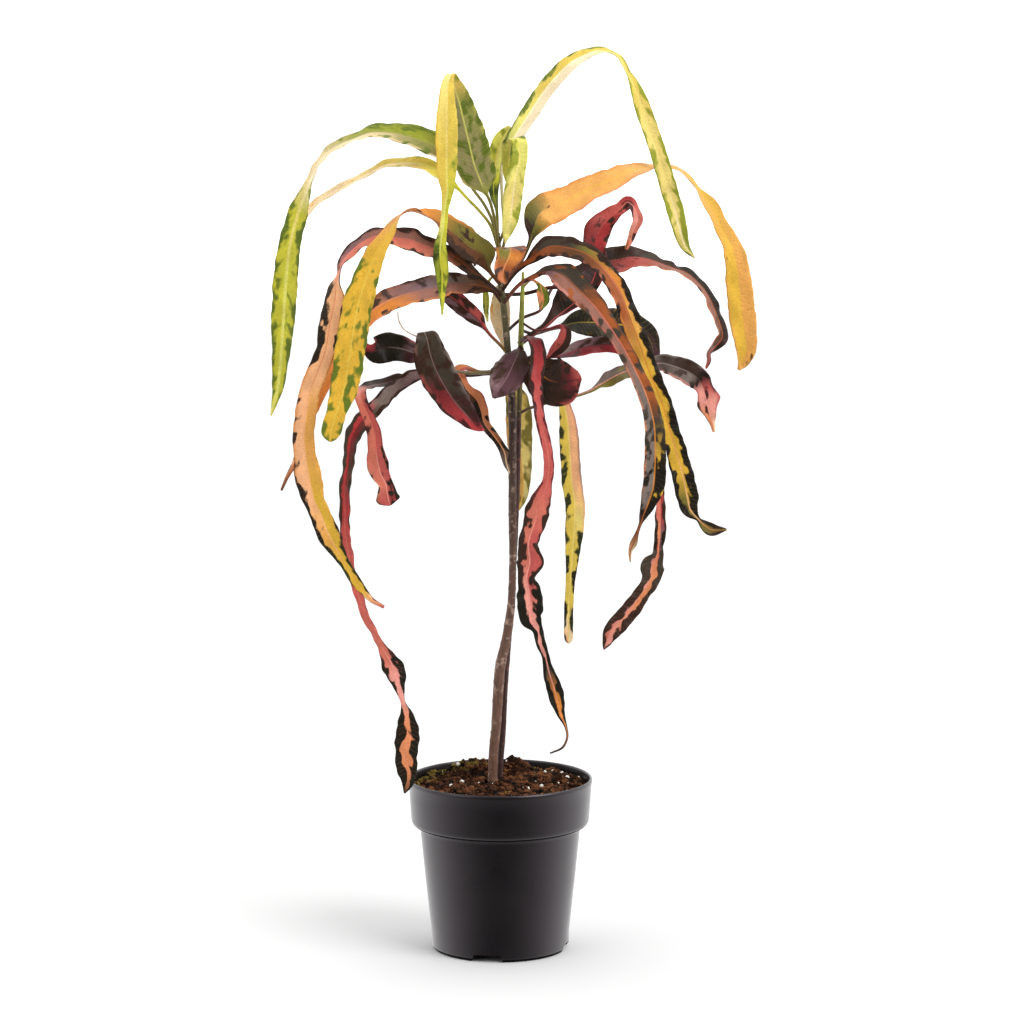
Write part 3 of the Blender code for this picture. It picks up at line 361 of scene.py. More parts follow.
def new_tree(name, surface, sizes):
    """A Geometry Nodes tree that works on a surface, and its named inputs."""
    tree = bpy.data.node_groups.new(name, "GeometryNodeTree")
    sockets = {surface: "Geometry", **sizes, "Seed": "Int", "Material": "Material"}
    for label, kind in sockets.items():
        tree.interface.new_socket(label, in_out="INPUT", socket_type="NodeSocket" + kind)
    tree.interface.new_socket("Made", in_out="OUTPUT", socket_type="NodeSocketGeometry")
    return tree, node(tree, "NodeGroupInput").outputs


def lay(tree, given, **laid):
    """Lay a shape on a tree's points, make the copies real and give them the tree's material."""
    copies = node(tree, "GeometryNodeInstanceOnPoints", laid).outputs["Instances"]
    real = node(tree, "GeometryNodeRealizeInstances", {"Geometry": copies}).outputs["Geometry"]
    painted = node(tree, "GeometryNodeSetMaterial", {"Geometry": real, "Material": given["Material"]})
    node(tree, "NodeGroupOutput", {"Made": painted.outputs["Geometry"]})
    return tree


def scatter_tree():
    """Geometry Nodes: grains of one material strewn over the upward faces of a surface."""
    sizes = {"Grains per square metre": "Float", "Smallest": "Float", "Largest": "Float", "Flatness": "Float"}
    tree, given = new_tree("strewn_grains", "Surface", sizes)
    facing = node(tree, "GeometryNodeInputNormal").outputs["Normal"]
    steepness = node(tree, "ShaderNodeSeparateXYZ", {0: facing}).outputs["Z"]
    upward = node(tree, "FunctionNodeCompare", {"A": steepness, "B": 0.35}, operation="GREATER_THAN")
    spread = node(tree, "GeometryNodeDistributePointsOnFaces", {
        "Mesh": given["Surface"], "Selection": upward.outputs["Result"],
        "Density": given["Grains per square metre"], "Seed": given["Seed"],
    })
    grain = node(tree, "GeometryNodeMeshIcoSphere", {"Radius": 1.0, "Subdivisions": 1})
    full_turn = {1: (6.28, 6.28, 6.28), "Seed": given["Seed"]}
    spin = node(tree, "FunctionNodeRandomValue", full_turn, data_type="FLOAT_VECTOR").outputs[0]
    sieve = {2: given["Smallest"], 3: given["Largest"], "Seed": given["Seed"]}
    size = node(tree, "FunctionNodeRandomValue", sieve, data_type="FLOAT").outputs[1]
    thin = node(tree, "ShaderNodeMath", {0: size, 1: given["Flatness"]}, operation="MULTIPLY").outputs[0]
    stretch = node(tree, "ShaderNodeCombineXYZ", {"X": size, "Y": size, "Z": thin})
    return lay(tree, given, Points=spread.outputs["Points"], Instance=grain.outputs["Mesh"],
               Rotation=spin, Scale=stretch.outputs[0])


def give(modifier, **values):
    """Set a Geometry Nodes modifier's inputs by their sockets' identifiers."""
    for item in modifier.node_group.interface.items_tree:
        label = item.name.replace(" ", "_").lower()
        if item.in_out == "INPUT" and label in values:
            modifier[item.identifier] = values[label]


def strew(name, surface, tree, **values):
    """A plain mesh of what a tree lays on the surface of a piece."""
    piece = placed(name, surface.data.copy())
    growth = piece.modifiers.new(tree.name, "NODES")
    growth.node_group = tree
    give(growth, **values)
    settle(piece)
    piece.data.shade_smooth()
    piece.data.set_sharp_from_angle(angle=math.radians(20))
    return piece


top = placed("soil_top", soil.data.copy())
with reshaping(top) as shape:
    outer = [v for v in shape.verts if v.co.z < STREWN_FROM * MM or v.co.xy.length > STREWN_TO * MM]
    bmesh.ops.delete(shape, geom=outer, context="VERTS")
scatter = scatter_tree()
GRAINS = (      # name, grains per square metre, smallest and largest in metres, flatness, seed, material
    ("fine_crumbs", 260000.0, 0.0005, 0.0013, 0.7, 3, bark_crumb),
    ("bark_chips", 36000.0, 0.0012, 0.0032, 0.55, 8, bark_crumb),
    ("perlite_grains", 4200.0, 0.0005, 0.0019, 0.85, 21, white_grain),
)
grains = [
    strew(name, top, scatter, grains_per_square_metre=count, smallest=smallest, largest=largest,
          flatness=flatness, seed=seed, material=finish.material)
    for name, count, smallest, largest, flatness, seed, finish in GRAINS
]
bpy.data.objects.remove(top, do_unlink=True)
hand_over(soil, "soil")
for piece in grains:
    hand_over(piece, None)

# ------------------------------------------------------------------ stems
# Two slim woody stems from one root ball. Thin grey-brown bark, darker and greener upwards, ringed
# by swollen nodes and the pale scars that dropped leaves left behind.
STEM_MAIN = [      # x, y, height and width, in millimetres
    (-5.0, 0, 62, 5.6), (-4.8, 0, 112, 6.0), (-4.1, 0, 132, 6.1), (-2.7, 0, 146, 6.3), (-1.1, 0, 172, 6.8),
    (0.4, 0, 187, 6.7), (3.8, 0, 203, 6.2), (5.6, 0, 214, 5.8), (7.3, 0, 227, 5.0), (8.2, 0, 254, 4.6),
    (8.1, 0, 276, 5.1), (8.0, 0, 307, 5.1), (7.7, 0, 359, 4.8), (5.1, 0, 391, 4.2), (2.6, 0, 417, 4.1),
    (0.6, 0, 433, 4.2), (-0.6, 0, 455, 3.5), (-1.4, 0, 466, 2.4),
]
STEM_SECOND = [
    (-1.6, 7.5, 62, 4.0), (-0.4, 7.5, 112, 4.2), (1.8, 7, 145, 4.1), (3.2, 7, 171, 3.7), (4.9, 8, 192, 3.4),
    (6.6, 8, 217, 3.3), (8.6, 8, 247, 3.3), (10.4, 7.5, 280, 3.2), (11.4, 7, 312, 3.2), (12.1, 6, 349, 3.3),
    (12.9, 5, 378, 3.6), (13.5, 4, 400, 3.5), (14.1, 4, 421, 3.1), (14.6, 4, 434, 2.4), (14.8, 4, 441, 1.6),
]
STEM_SIDES = 20
STEM_STEP = 1.1          # millimetres between a stem's rings of points
SCARS_FROM = 102         # millimetres; lower scars would be buried in the soil
BARK_FROM = 0.12         # metres; the bark's colour changes upwards from this height


def flowing(values, spans, places):
    """Values at places along a route, on a smooth curve through every stated point."""
    values = np.array(values, float)
    last = len(values) - 1
    slopes = np.empty_like(values)
    for i in range(last + 1):
        low, high = max(i - 1, 0), min(i + 1, last)
        slopes[i] = (values[high] - values[low]) / (spans[high] - spans[low])
    i = np.clip(np.searchsorted(spans, places, side="right") - 1, 0, last - 1)
    gap = (spans[i + 1] - spans[i])[:, None]
    t = ((places - spans[i])[:, None]) / gap
    return ((2 * t**3 - 3 * t**2 + 1) * values[i] + (t**3 - 2 * t**2 + t) * gap * slopes[i]
            + (-2 * t**3 + 3 * t**2) * values[i + 1] + (t**3 - t**2) * gap * slopes[i + 1])


def lengths_along(route):
    """How far along its route each stated point lies."""
    steps = np.linalg.norm(np.diff(np.array(route, float)[:, :3], axis=0), axis=1)
    return np.concatenate([[0.0], np.cumsum(steps)])


def unit(vectors):
    """The same directions, each with a length of 1."""
    return vectors / np.linalg.norm(vectors, axis=1)[:, None]


def ripple(s, seed, *periods):
    """A smooth irregular wave along a length, between about -1 and 1."""
    total = 0.0
    for k, period in enumerate(periods):
        drift = 0.6 * np.sin(s / period * 1.9 + seed)
        total = total + np.sin(2 * np.pi * s / period + seed * (1.7 + k) + drift)
    return total / len(periods)


def grow_stem(name, route, seed, node_spacing, finish):
    """A bark tube along its route, swollen at its leaf nodes."""
    spans = lengths_along(route)
    places = np.append(np.arange(0.0, spans[-1], STEM_STEP), spans[-1])
    points = flowing([p[:3] for p in route], spans, places)
    width = np.interp(places, spans, [p[3] for p in route])
    along = unit(np.gradient(points, axis=0))
    side = unit(np.cross(along, [0.0, 1.0, 0.0]))
    back = np.cross(along, side)
    shape = bmesh.new()
    rings = []
    for k, s in enumerate(places):
        beat = math.cos(2 * math.pi * s / node_spacing + 0.9 * math.sin(s / 37.0 + seed))
        swell = 1.0 + 0.07 * max(0.0, beat) ** 6
        ring = []
        for i in range(STEM_SIDES):
            turn = 2 * math.pi * i / STEM_SIDES
            lump = 1.0 + 0.025 * math.sin(3 * turn + s / 9.0 + seed) + 0.02 * math.sin(5 * turn - s / 5.3)
            radius = width[k] / 2 * swell * lump
            place = points[k] + (side[k] * math.cos(turn) + back[k] * math.sin(turn)) * radius
            ring.append(shape.verts.new(place * MM))
        rings.append(ring)
    for lower, upper in zip(rings, rings[1:]):
        skin(shape, lower, upper)
    shape.faces.new(rings[0])
    tip = shape.verts.new((points[-1] + along[-1] * width[-1] * 0.4) * MM)
    skin(shape, rings[-1], [tip])
    stem = finished_mesh(name, shape, sharp=60.0)
    stem.data.materials.append(finish.material)
    return stem


def bark(name, low_tone, high_tone, tip_tone, tip_height, fleck_tone):
    """Thin bark: long streaks, pale flecks, and a colour that changes with height."""
    finish = Finish(name)
    where = finish.where()
    height = finish.add("ShaderNodeSeparateXYZ", {0: where}).outputs["Z"]
    long = finish.add("ShaderNodeMapping", {"Vector": where, "Scale": (1.0, 1.0, 0.22)}).outputs["Vector"]
    streaks = finish.noise(720.0, 6.0, 0.65, long)
    upwards = finish.fit(height, BARK_FROM, tip_height)
    tone = finish.tones(upwards, (0.0, low_tone), (0.72, high_tone), (1.0, tip_tone))
    streaked = finish.shaded(tone, finish.fit(streaks, 0.25, 0.75, 0.45, 1.5))
    flecks = finish.fit(finish.noise(210.0, 4.0, 0.6, where), 0.56, 0.70, 0.0, 0.75)
    colour = finish.blend(flecks, streaked, (*srgb(*fleck_tone), 1))
    finish.surface(colour, 0.72, relief=streaks, strength=0.8, depth=0.0004)
    return finish


grey_bark = bark("grey_brown_bark", (106, 73, 55), (52, 34, 28), (92, 92, 42), 0.455, (168, 142, 126))
red_bark = bark("maroon_bark", (58, 30, 26), (62, 34, 28), (150, 156, 58), 0.430, (122, 74, 62))
stem_main = grow_stem("main_stem", STEM_MAIN, 1.0, 12.5, grey_bark)
stem_second = grow_stem("second_stem", STEM_SECOND, 2.4, 14.0, red_bark)

scar_cork = Finish("leaf_scar_cork")
cork = scar_cork.tones(scar_cork.noise(1400.0, 3.0), (0.0, (84, 66, 56)), (1.0, (150, 132, 116)))
scar_cork.surface(cork, 0.85)


def scar_tree():
    """Geometry Nodes: small corky scars set into a stem, each lying flat against the bark."""
    sizes = {"Scars per square metre": "Float", "Spacing": "Float", "Width": "Float"}
    tree, given = new_tree("leaf_scars", "Stem", sizes)
    spread = node(tree, "GeometryNodeDistributePointsOnFaces", distribute_method="POISSON")
    feed(tree, spread, {
        "Mesh": given["Stem"], "Distance Min": given["Spacing"],
        "Density Max": given["Scars per square metre"], "Seed": given["Seed"],
    })
    scar = node(tree, "GeometryNodeMeshIcoSphere", {"Radius": 1.0, "Subdivisions": 2})
    shares = {2: 0.3, 3: 1.2, "Seed": given["Seed"]}
    size = node(tree, "FunctionNodeRandomValue", shares, data_type="FLOAT").outputs[1]
    wide = node(tree, "ShaderNodeMath", {0: size, 1: given["Width"]}, operation="MULTIPLY").outputs[0]
    oval = node(tree, "ShaderNodeVectorMath", {0: (1.0, 0.62, 0.22), "Scale": wide}, operation="SCALE")
    return lay(tree, given, Points=spread.outputs["Points"], Instance=scar.outputs["Mesh"],
               Rotation=spread.outputs["Rotation"], Scale=oval.outputs[0])


scars = scar_tree()
main_scars = strew("main_stem_scars", stem_main, scars, scars_per_square_metre=9000.0, spacing=0.0055,
                   width=0.0013, seed=5, material=scar_cork.material)
second_scars = strew("second_stem_scars", stem_second, scars, scars_per_square_metre=7000.0, spacing=0.006,
                     width=0.0009, seed=9, material=scar_cork.material)
for piece in (main_scars, second_scars):
    with reshaping(piece) as shape:
        buried = [v for v in shape.verts if v.co.z < SCARS_FROM * MM]
        bmesh.ops.delete(shape, geom=buried, context="VERTS")
    piece.data.shade_smooth()
    hand_over(piece, None)
hand_over(stem_main, "stem_main")
hand_over(stem_second, "stem_second")

# ------------------------------------------------------------------ crown leaves
# The youngest leaves, at the top of the main stem. Each is one soft, waxy strap that grows from a
# thin round petiole, keeled along a raised midrib, yellow-green with darker green patches.
LEAF_TONES = {
    "cream": (240, 224, 184), "peach": (234, 206, 158), "butter": (226, 204, 116), "straw": (212, 184, 76),
    "gold": (208, 164, 52), "amber": (212, 152, 74), "orange": (206, 126, 50), "rust": (152, 80, 38),
    "brown": (96, 58, 32), "umber": (54, 35, 26), "black": (28, 24, 15), "coal": (62, 54, 44),
    "ash": (116, 104, 96), "mauve": (118, 88, 92), "plum": (82, 52, 58), "maroon": (62, 28, 30),
    "wine": (112, 36, 40), "crimson": (164, 54, 56), "rose": (180, 82, 76), "coral": (194, 106, 88),
    "pink": (216, 142, 128), "salmon": (212, 132, 88), "apricot": (230, 170, 122), "lime": (190, 186, 54),
    "pear": (216, 212, 110), "leafgreen": (140, 146, 42), "green": (90, 106, 28), "forest": (42, 48, 20),
    "olive": (112, 102, 42), "moss": (138, 134, 74), "clay": (140, 94, 80), "sand": (226, 206, 170),
}
ROW_STEP = 1.25        # millimetres between a leaf's rows of points
COLUMNS = 15           # points across each side of a leaf
STALK_WIDTH = 2.6      # a leaf this narrow is its round stalk
BLADE_GAIN = 3.0       # and this much wider it is all flat blade
BLADE_HALF = 0.22      # half the thickness of a blade
KEEL = 0.55            # how far the midrib stands out below it
GROOVE = 0.10          # and how deep it lies above
BAND_ENDS = [-1.0, -0.72, -0.08, 0.08, 0.72, 1.0]     # where the colours across a leaf meet
UNDERSIDE = (168, 150, 140)      # the pale bloom on a leaf's lower side
BLOOM = 0.14                     # and how much of it there is


def leaf_material(name, roughness, softness):
    """A croton blade: ground colours, feathered blotches, side veins and a paler midrib."""
    leaf = Finish(name)
    calc = leaf.calc
    soft = "SMOOTHSTEP"

    def times(first, second):
        return calc("MULTIPLY", first, second)

    def plus(first, second):
        return calc("ADD", first, second)

    def pattern(x, y, z, detail):
        place = leaf.add("ShaderNodeCombineXYZ", {0: x, 1: y, 2: z}).outputs[0]
        return leaf.noise(1.0, detail, 0.55, place)

    def painted(label):
        return leaf.add("ShaderNodeAttribute", attribute_name=label).outputs

    blade, ground, patch, rib = [painted(label) for label in ("blade", "ground", "patch", "rib")]
    along, across, plant = leaf.add("ShaderNodeSeparateXYZ", {0: blade["Vector"]}).outputs
    out = calc("ABSOLUTE", across)
    slant = calc("SUBTRACT", along, times(out, 0.5))

    grain = pattern(times(along, 1.1), times(across, 1.1), plant, 3.0)
    feather = pattern(times(slant, 0.125), times(across, 0.18), plant, 1.0)
    cloud = pattern(times(along, 0.07), times(across, 0.12), plus(plant, 31.0), 2.0)
    wander = pattern(times(along, 0.15), times(across, 0.06), plus(plant, 77.0), 1.0)

    blotches = plus(times(feather, 0.62), times(cloud, 0.38))
    blotches = plus(blotches, times(calc("SUBTRACT", grain, 0.5), 0.12))
    limit = calc("SUBTRACT", 0.63, times(ground["Alpha"], 0.26))
    cover = leaf.fit(blotches, calc("SUBTRACT", limit, softness), plus(limit, softness), curve=soft)

    turns = calc("FRACT", plus(calc("DIVIDE", slant, 2.9), times(wander, 2.4)))
    vein = leaf.fit(calc("ABSOLUTE", calc("SUBTRACT", turns, 0.5)), 0.0, 0.20, 1.0, 0.0, soft)
    vein = times(vein, leaf.fit(grain, 0.35, 0.62, 0.25, 1.0, soft))
    veined = calc("MULTIPLY", vein, patch["Alpha"], clamp=True)
    middle = leaf.fit(out, times(rib["Alpha"], 0.35), times(rib["Alpha"], 1.3), 0.85, 0.0, soft)

    colour = leaf.blend(cover, ground["Color"], patch["Color"])
    colour = leaf.blend(veined, colour, rib["Color"])
    colour = leaf.blend(middle, colour, rib["Color"])
    shade = times(leaf.fit(grain, 0.3, 0.7, 0.84, 1.12), leaf.fit(cloud, 0.35, 0.65, 0.88, 1.10))
    leaf.surface(
        leaf.shaded(colour, shade), leaf.fit(grain, 0.3, 0.7, roughness - 0.05, roughness + 0.08), 0.16,
        relief=plus(times(vein, -0.8), times(grain, 0.6)), strength=0.6, depth=0.00022)
    return leaf.material


LEAF_MATERIALS = {
    "leaf_lime": leaf_material("young_lime_blade", 0.46, 0.070),
    "leaf_gold": leaf_material("golden_blade", 0.44, 0.045),
    "leaf_salmon": leaf_material("salmon_blade", 0.44, 0.040),
    "leaf_crimson": leaf_material("crimson_blade", 0.42, 0.035),
    "leaf_maroon": leaf_material("dark_blade", 0.38, 0.055),
}


def looking(bearing, tilt):
    """The direction of a bearing round the plant (0 = front, 90 = right) and a tilt above level."""
    turn = math.radians(bearing)
    rise = math.radians(tilt)
    return [math.sin(turn) * math.cos(rise), -math.cos(turn) * math.cos(rise), math.sin(rise)]


def between(station, keys, stated):
    """Rows of numbers stated at some points of a route, at every place along it."""
    stated = np.array(stated, float)
    return np.stack([np.interp(station, keys, column) for column in stated.T], axis=1)


def paint_leaf(mesh, paint, station, places, offsets, seed, veins, rib, rim):
    """Give a leaf's points their ground, patch and midrib colours, and their place on the blade."""
    rows, ring = offsets.shape
    v = np.linspace(-1.0, 1.0, COLUMNS)
    shares = np.concatenate([v, v[::-1]])
    keys = [row[0] for row in paint]
    stated = []
    for row in paint:
        names = row[1].split()
        if len(names) == 1:
            names = names * 5
        if len(names) == 3:
            names = [names[0]] + names + [names[2]]
        stated.append(np.ravel([srgb(*LEAF_TONES[name]) for name in names]))
    tone = between(station, keys, stated).reshape(rows, 5, 3)
    bands = tone[:, [0, 1, 1, 3, 3, 4]]
    ground = np.empty((rows, ring, 4))
    for channel in range(3):
        for r in range(rows):
            ground[r, :, channel] = np.interp(shares, BAND_ENDS, bands[r, :, channel])
    covers = between(station, keys, [row[3:5] for row in paint])
    cover = np.where(shares[None, :] < 0, covers[:, :1], covers[:, 1:])
    bare = np.clip(1 - cover / 0.05, 0, 1)      # where they cover almost nothing, there are none
    ground[:, :, 3] = cover + rim * (2 * np.abs(shares)[None, :] - 1) - 0.6 * bare
    ground[:, COLUMNS:, :3] = ground[:, COLUMNS:, :3] * (1 - BLOOM) + np.array(srgb(*UNDERSIDE)) * BLOOM
    patch = np.full((rows, ring, 4), veins, float)
    patch[:, :, :3] = between(station, keys, [srgb(*LEAF_TONES[row[2]]) for row in paint])[:, None]
    rib_tone = np.full((rows, ring, 4), rib, float)
    rib_tone[:, :, :3] = tone[:, 2][:, None]
    blade = np.full((rows, ring, 3), seed * 13.7)      # another stretch of the pattern for each leaf
    blade[:, :, 0] = places[:, None]
    blade[:, :, 1] = offsets
    for label, values in (("ground", ground), ("patch", patch), ("rib", rib_tone)):
        mesh.attributes.new(label, "FLOAT_COLOR", "POINT").data.foreach_set("color", values.ravel())
    mesh.attributes.new("blade", "FLOAT_VECTOR", "POINT").data.foreach_set("vector", blade.ravel())


def grow_leaf(node_name, slot, route, faces, paint, sides=None, fold=0.12, wave=0.6, pitch=24.0, seed=1,
              veins=0.08, rib=0.45, rim=0.1, edge=0.05):
    """One leaf: a stalk and blade swept along its route, folded at the midrib and waved at its edges.

    route holds x, y, z and width in millimetres; faces says which way the upper side looks at some
    of those points, as a bearing and a tilt; sides makes its left and right halves wider or narrower
    there. paint gives, at some of them, one, three or five tones from left edge over midrib to right
    edge, the patch tone, and how much of the left and right half the patches cover. fold and wave say
    how strongly the blade folds and waves, pitch how long a wave is, edge how uneven the outline is,
    veins how clearly the side veins show, rib how far the midrib's tone reaches, rim how much more
    the patches cover at the edge, and seed sets one leaf off from another.
    """
    name = node_name.removeprefix("leaf_") + "_leaf"
    spans = lengths_along(route)
    length = spans[-1]
    places = np.append(np.arange(0.0, length, ROW_STEP), length)
    points = flowing([p[:3] for p in route], spans, places)
    widths = np.array([p[3] for p in route], float)
    station = np.interp(places, spans, np.arange(len(route)))
    behind = widths[np.floor(station).astype(int)]
    ahead = widths[np.ceil(station).astype(int)]
    width = flowing(widths[:, None], spans, places)[:, 0]
    width = np.clip(width, np.minimum(behind, ahead), np.maximum(behind, ahead))
    along = unit(np.gradient(points, places, axis=0))
    keys = sorted(faces)
    upper = between(station, keys, [looking(*faces[k]) for k in keys])
    for _ in range(4):
        upper[1:-1] = (upper[:-2] + upper[1:-1] * 2 + upper[2:]) / 4
    upper = unit(upper - along * (upper * along).sum(1)[:, None])
    across = np.cross(upper, along)

    blade = np.clip((width - STALK_WIDTH) / BLADE_GAIN, 0.0, 1.0)
    blade = blade * blade * (3 - 2 * blade)
    tip = np.clip((length - places) / 6.0, 0.0, 1.0)
    last = widths[-1] / 2
    if last > 1.2:      # a blunt end is rounded off
        inwards = (1 - (length - places) / (1.4 * last)).clip(0)
        width = width * np.sqrt(np.clip(1 - inwards**2, 0.03, 1))
    half = width / 2
    sides = sides or {0: (1, 1)}
    lean = between(station, sorted(sides), [sides[k] for k in sorted(sides)])
    left = half * lean[:, 0] * (1 + edge * blade * ripple(places, seed, 17.0, 31.0, 9.0))
    right = half * lean[:, 1] * (1 + edge * blade * ripple(places, seed + 3.3, 15.0, 27.0, 8.0))

    v = np.linspace(-1.0, 1.0, COLUMNS)
    far = np.abs(v)[None, :]
    leftwards = v[None, :] < 0
    blade, thick = blade[:, None], half[:, None]
    x = np.where(leftwards, left[:, None], right[:, None]) * v[None, :]
    wave_left = ripple(places, seed + 0.5, pitch, pitch * 0.61)[:, None]
    wave_right = ripple(places, seed + 4.1, pitch * 0.93, pitch * 0.57)[:, None]
    lift = fold * (np.sqrt(x * x + 0.5) - 0.7) * blade
    lift = lift + wave * far**1.7 * np.where(leftwards, wave_left, wave_right) * (blade * tip[:, None])
    round_half = thick * np.sqrt(np.maximum(1 - far**2, 0.03))
    flat_half = BLADE_HALF * (1 - 0.6 * far**2)
    body = round_half * (1 - blade) + flat_half * blade
    keel = KEEL * np.exp(-((x / 0.7) ** 2)) * blade * np.clip(width[:, None] / 8, 0.3, 1.2)
    groove = GROOVE * np.exp(-((x / 0.5) ** 2)) * blade
    offsets = np.concatenate([x, x[:, ::-1]], axis=1)
    heights = np.concatenate([lift + body - groove, (lift - body - keel)[:, ::-1]], axis=1)
    cloud = points[:, None] + across[:, None] * offsets[:, :, None] + upper[:, None] * heights[:, :, None]

    rows, ring = offsets.shape
    index = np.arange(rows * ring).reshape(rows, ring)
    onward = np.roll(index, -1, axis=1)
    quads = np.stack([index[:-1], index[1:], onward[1:], onward[:-1]], axis=-1).reshape(-1, 4)
    caps = []
    for row, flip in ((0, False), (rows - 1, True)):
        for j in range(COLUMNS - 1):
            quad = [index[row, j], index[row, j + 1], index[row, ring - 2 - j], index[row, ring - 1 - j]]
            caps.append(quad[::-1] if flip else quad)
    mesh = bpy.data.meshes.new(name)
    mesh.from_pydata((cloud.reshape(-1, 3) * MM).tolist(), [], quads.tolist() + caps)
    mesh.update()
    mesh.shade_smooth()
    paint_leaf(mesh, paint, station, places, offsets, seed, veins, rib, rim)
    mesh.materials.append(LEAF_MATERIALS[slot])
    hand_over(placed(name, mesh), node_name)


grow_leaf(
    "leaf_crown_front", "leaf_lime", fold=0.10, wave=0.5, pitch=31, seed=1, veins=0.16, rib=0.6,
    route=[
        (-1, 0, 456, 2), (-3, -6, 473, 2), (-6, -12, 486, 2), (-9, -17, 493, 4), (-12, -20, 500, 21),
        (-16, -27, 511, 24), (-19, -35, 524, 24), (-22, -44, 537, 20.5), (-25, -53, 550, 16),
        (-28, -62, 560, 11.5), (-29.5, -71, 567, 5), (-31.5, -80, 561, 7.5), (-32, -87, 548, 11),
        (-32, -91, 536, 13.5), (-32, -94, 521, 13.5), (-32, -96, 506, 11.5), (-31.5, -97, 497, 8),
        (-33, -98, 486, 4.5), (-34, -98, 475, 4.5), (-36, -97, 463, 7.5), (-36, -97, 455, 9),
        (-35, -96, 446, 8.5), (-35, -96, 437, 5), (-35, -95, 421, 1),
    ],
    faces={0: (180, 10), 4: (180, 35), 9: (180, 45), 10: (0, 88), 11: (0, 20), 13: (-5, 5), 23: (-5, 0)},
    paint=[
        (0, "olive", "green", 0, 0),
        (3, "leafgreen olive leafgreen", "green", 0.1, 0.1),
        (4, "butter moss pear moss leafgreen", "green", 0.3, 0.35),
        (6, "straw moss pear moss lime", "green", 0.3, 0.4),
        (8, "pear moss pear leafgreen lime", "green", 0.25, 0.3),
        (9, "butter straw butter straw lime", "leafgreen", 0.15, 0.3),
        (10, "butter butter cream straw gold", "leafgreen", 0, 0.1),
        (11, "straw butter butter straw straw", "green", 0, 0),
        (14, "gold straw butter straw straw", "leafgreen", 0, 0.05),
        (16, "straw straw pear lime lime", "green", 0.1, 0.3),
        (18, "straw pear pear lime lime", "green", 0.2, 0.2),
        (19, "leafgreen leafgreen pear lime leafgreen", "green", 0.7, 0.3),
        (20, "green leafgreen lime lime leafgreen", "forest", 0.8, 0.4),
        (22, "green leafgreen lime lime leafgreen", "green", 0.5, 0.4),
        (23, "olive lime lime lime olive", "green", 0.2, 0.2),
    ],
)
grow_leaf(
    "leaf_crown_inner", "leaf_lime", fold=0.2, wave=0.4, pitch=24, seed=2, veins=0.15, rim=0.2,
    route=[
        (-0.8, 0, 459, 2), (4.5, -3, 474, 2), (7, -3, 490, 2.5), (6, -2, 505, 8), (6, -3, 517, 10),
        (8, -8, 526, 11), (12, -14, 525, 10), (12.5, -18, 515, 10), (10, -20, 502, 11.5), (8, -21, 488, 12),
        (7, -22, 478, 11), (5, -22, 469, 7), (3, -22, 461, 1),
    ],
    faces={0: (180, 0), 3: (180, 20), 5: (0, 85), 7: (0, 15), 12: (0, 0)},
    paint=[
        (0, "olive", "green", 0, 0),
        (2, "leafgreen olive leafgreen", "green", 0.1, 0.1),
        (3, "lime lime lime leafgreen leafgreen", "green", 0.1, 0.5),
        (4, "pear lime butter leafgreen lime", "green", 0.2, 0.6),
        (5, "pear pear butter lime lime", "green", 0.2, 0.4),
        (6, "leafgreen lime butter pear pear", "green", 0.4, 0.15),
        (7, "leafgreen pear butter pear pear", "leafgreen", 0.45, 0.15),
        (9, "pear butter cream butter pear", "leafgreen", 0.35, 0.2),
        (12, "lime pear butter pear lime", "leafgreen", 0.2, 0.1),
    ],
)
grow_leaf(
    "leaf_crown_young", "leaf_lime", fold=0.25, wave=0.3, pitch=19, seed=3,
    route=[
        (-1.5, 0, 462, 2), (-2, 8, 480, 2), (-4, 15, 491, 6), (-4, 19, 501, 8.5), (-3, 21, 510, 9.5),
        (-1, 22, 519, 11.5), (3, 24, 528, 9.5), (6, 24, 534, 2),
    ],
    faces={0: (0, 0), 7: (0, 15)},
    paint=[
        (0, "olive", "green", 0, 0),
        (2, "forest green leafgreen green forest", "forest", 0.7, 0.7),
        (3, "olive lime lime olive green", "green", 0.3, 0.3),
        (4, "pear pear butter lime lime", "green", 0.05, 0.3),
        (7, "pear pear butter pear lime", "leafgreen", 0.05, 0.15),
    ],
)
grow_leaf(
    "leaf_brown_crown_front", "leaf_gold", fold=0.08, wave=1.0, pitch=17, seed=4, veins=0.10, rim=0.15,
    route=[
        (-0.1, 0, 446, 2.5), (3, -9, 453, 9), (5, -17, 458, 18), (7, -27, 457, 20), (6, -35, 453, 16.5),
        (3, -41, 447, 13), (2, -44, 442, 9.5), (4, -45, 437, 2),
    ],
    faces={0: (0, 60), 2: (0, 75), 3: (0, 70), 4: (0, 30), 7: (0, 5)},
    paint=[
        (0, "brown", "umber", 0.2, 0.2),
        (2, "rust rust orange rust brown", "umber", 0.4, 0.5),
        (3, "orange olive orange rust rust", "umber", 0.2, 0.3),
        (4, "orange olive amber orange rust", "rust", 0.3, 0.3),
        (5, "salmon rust salmon rust umber", "umber", 0.2, 0.4),
        (7, "salmon salmon rust brown umber", "umber", 0.2, 0.4),
    ],
)

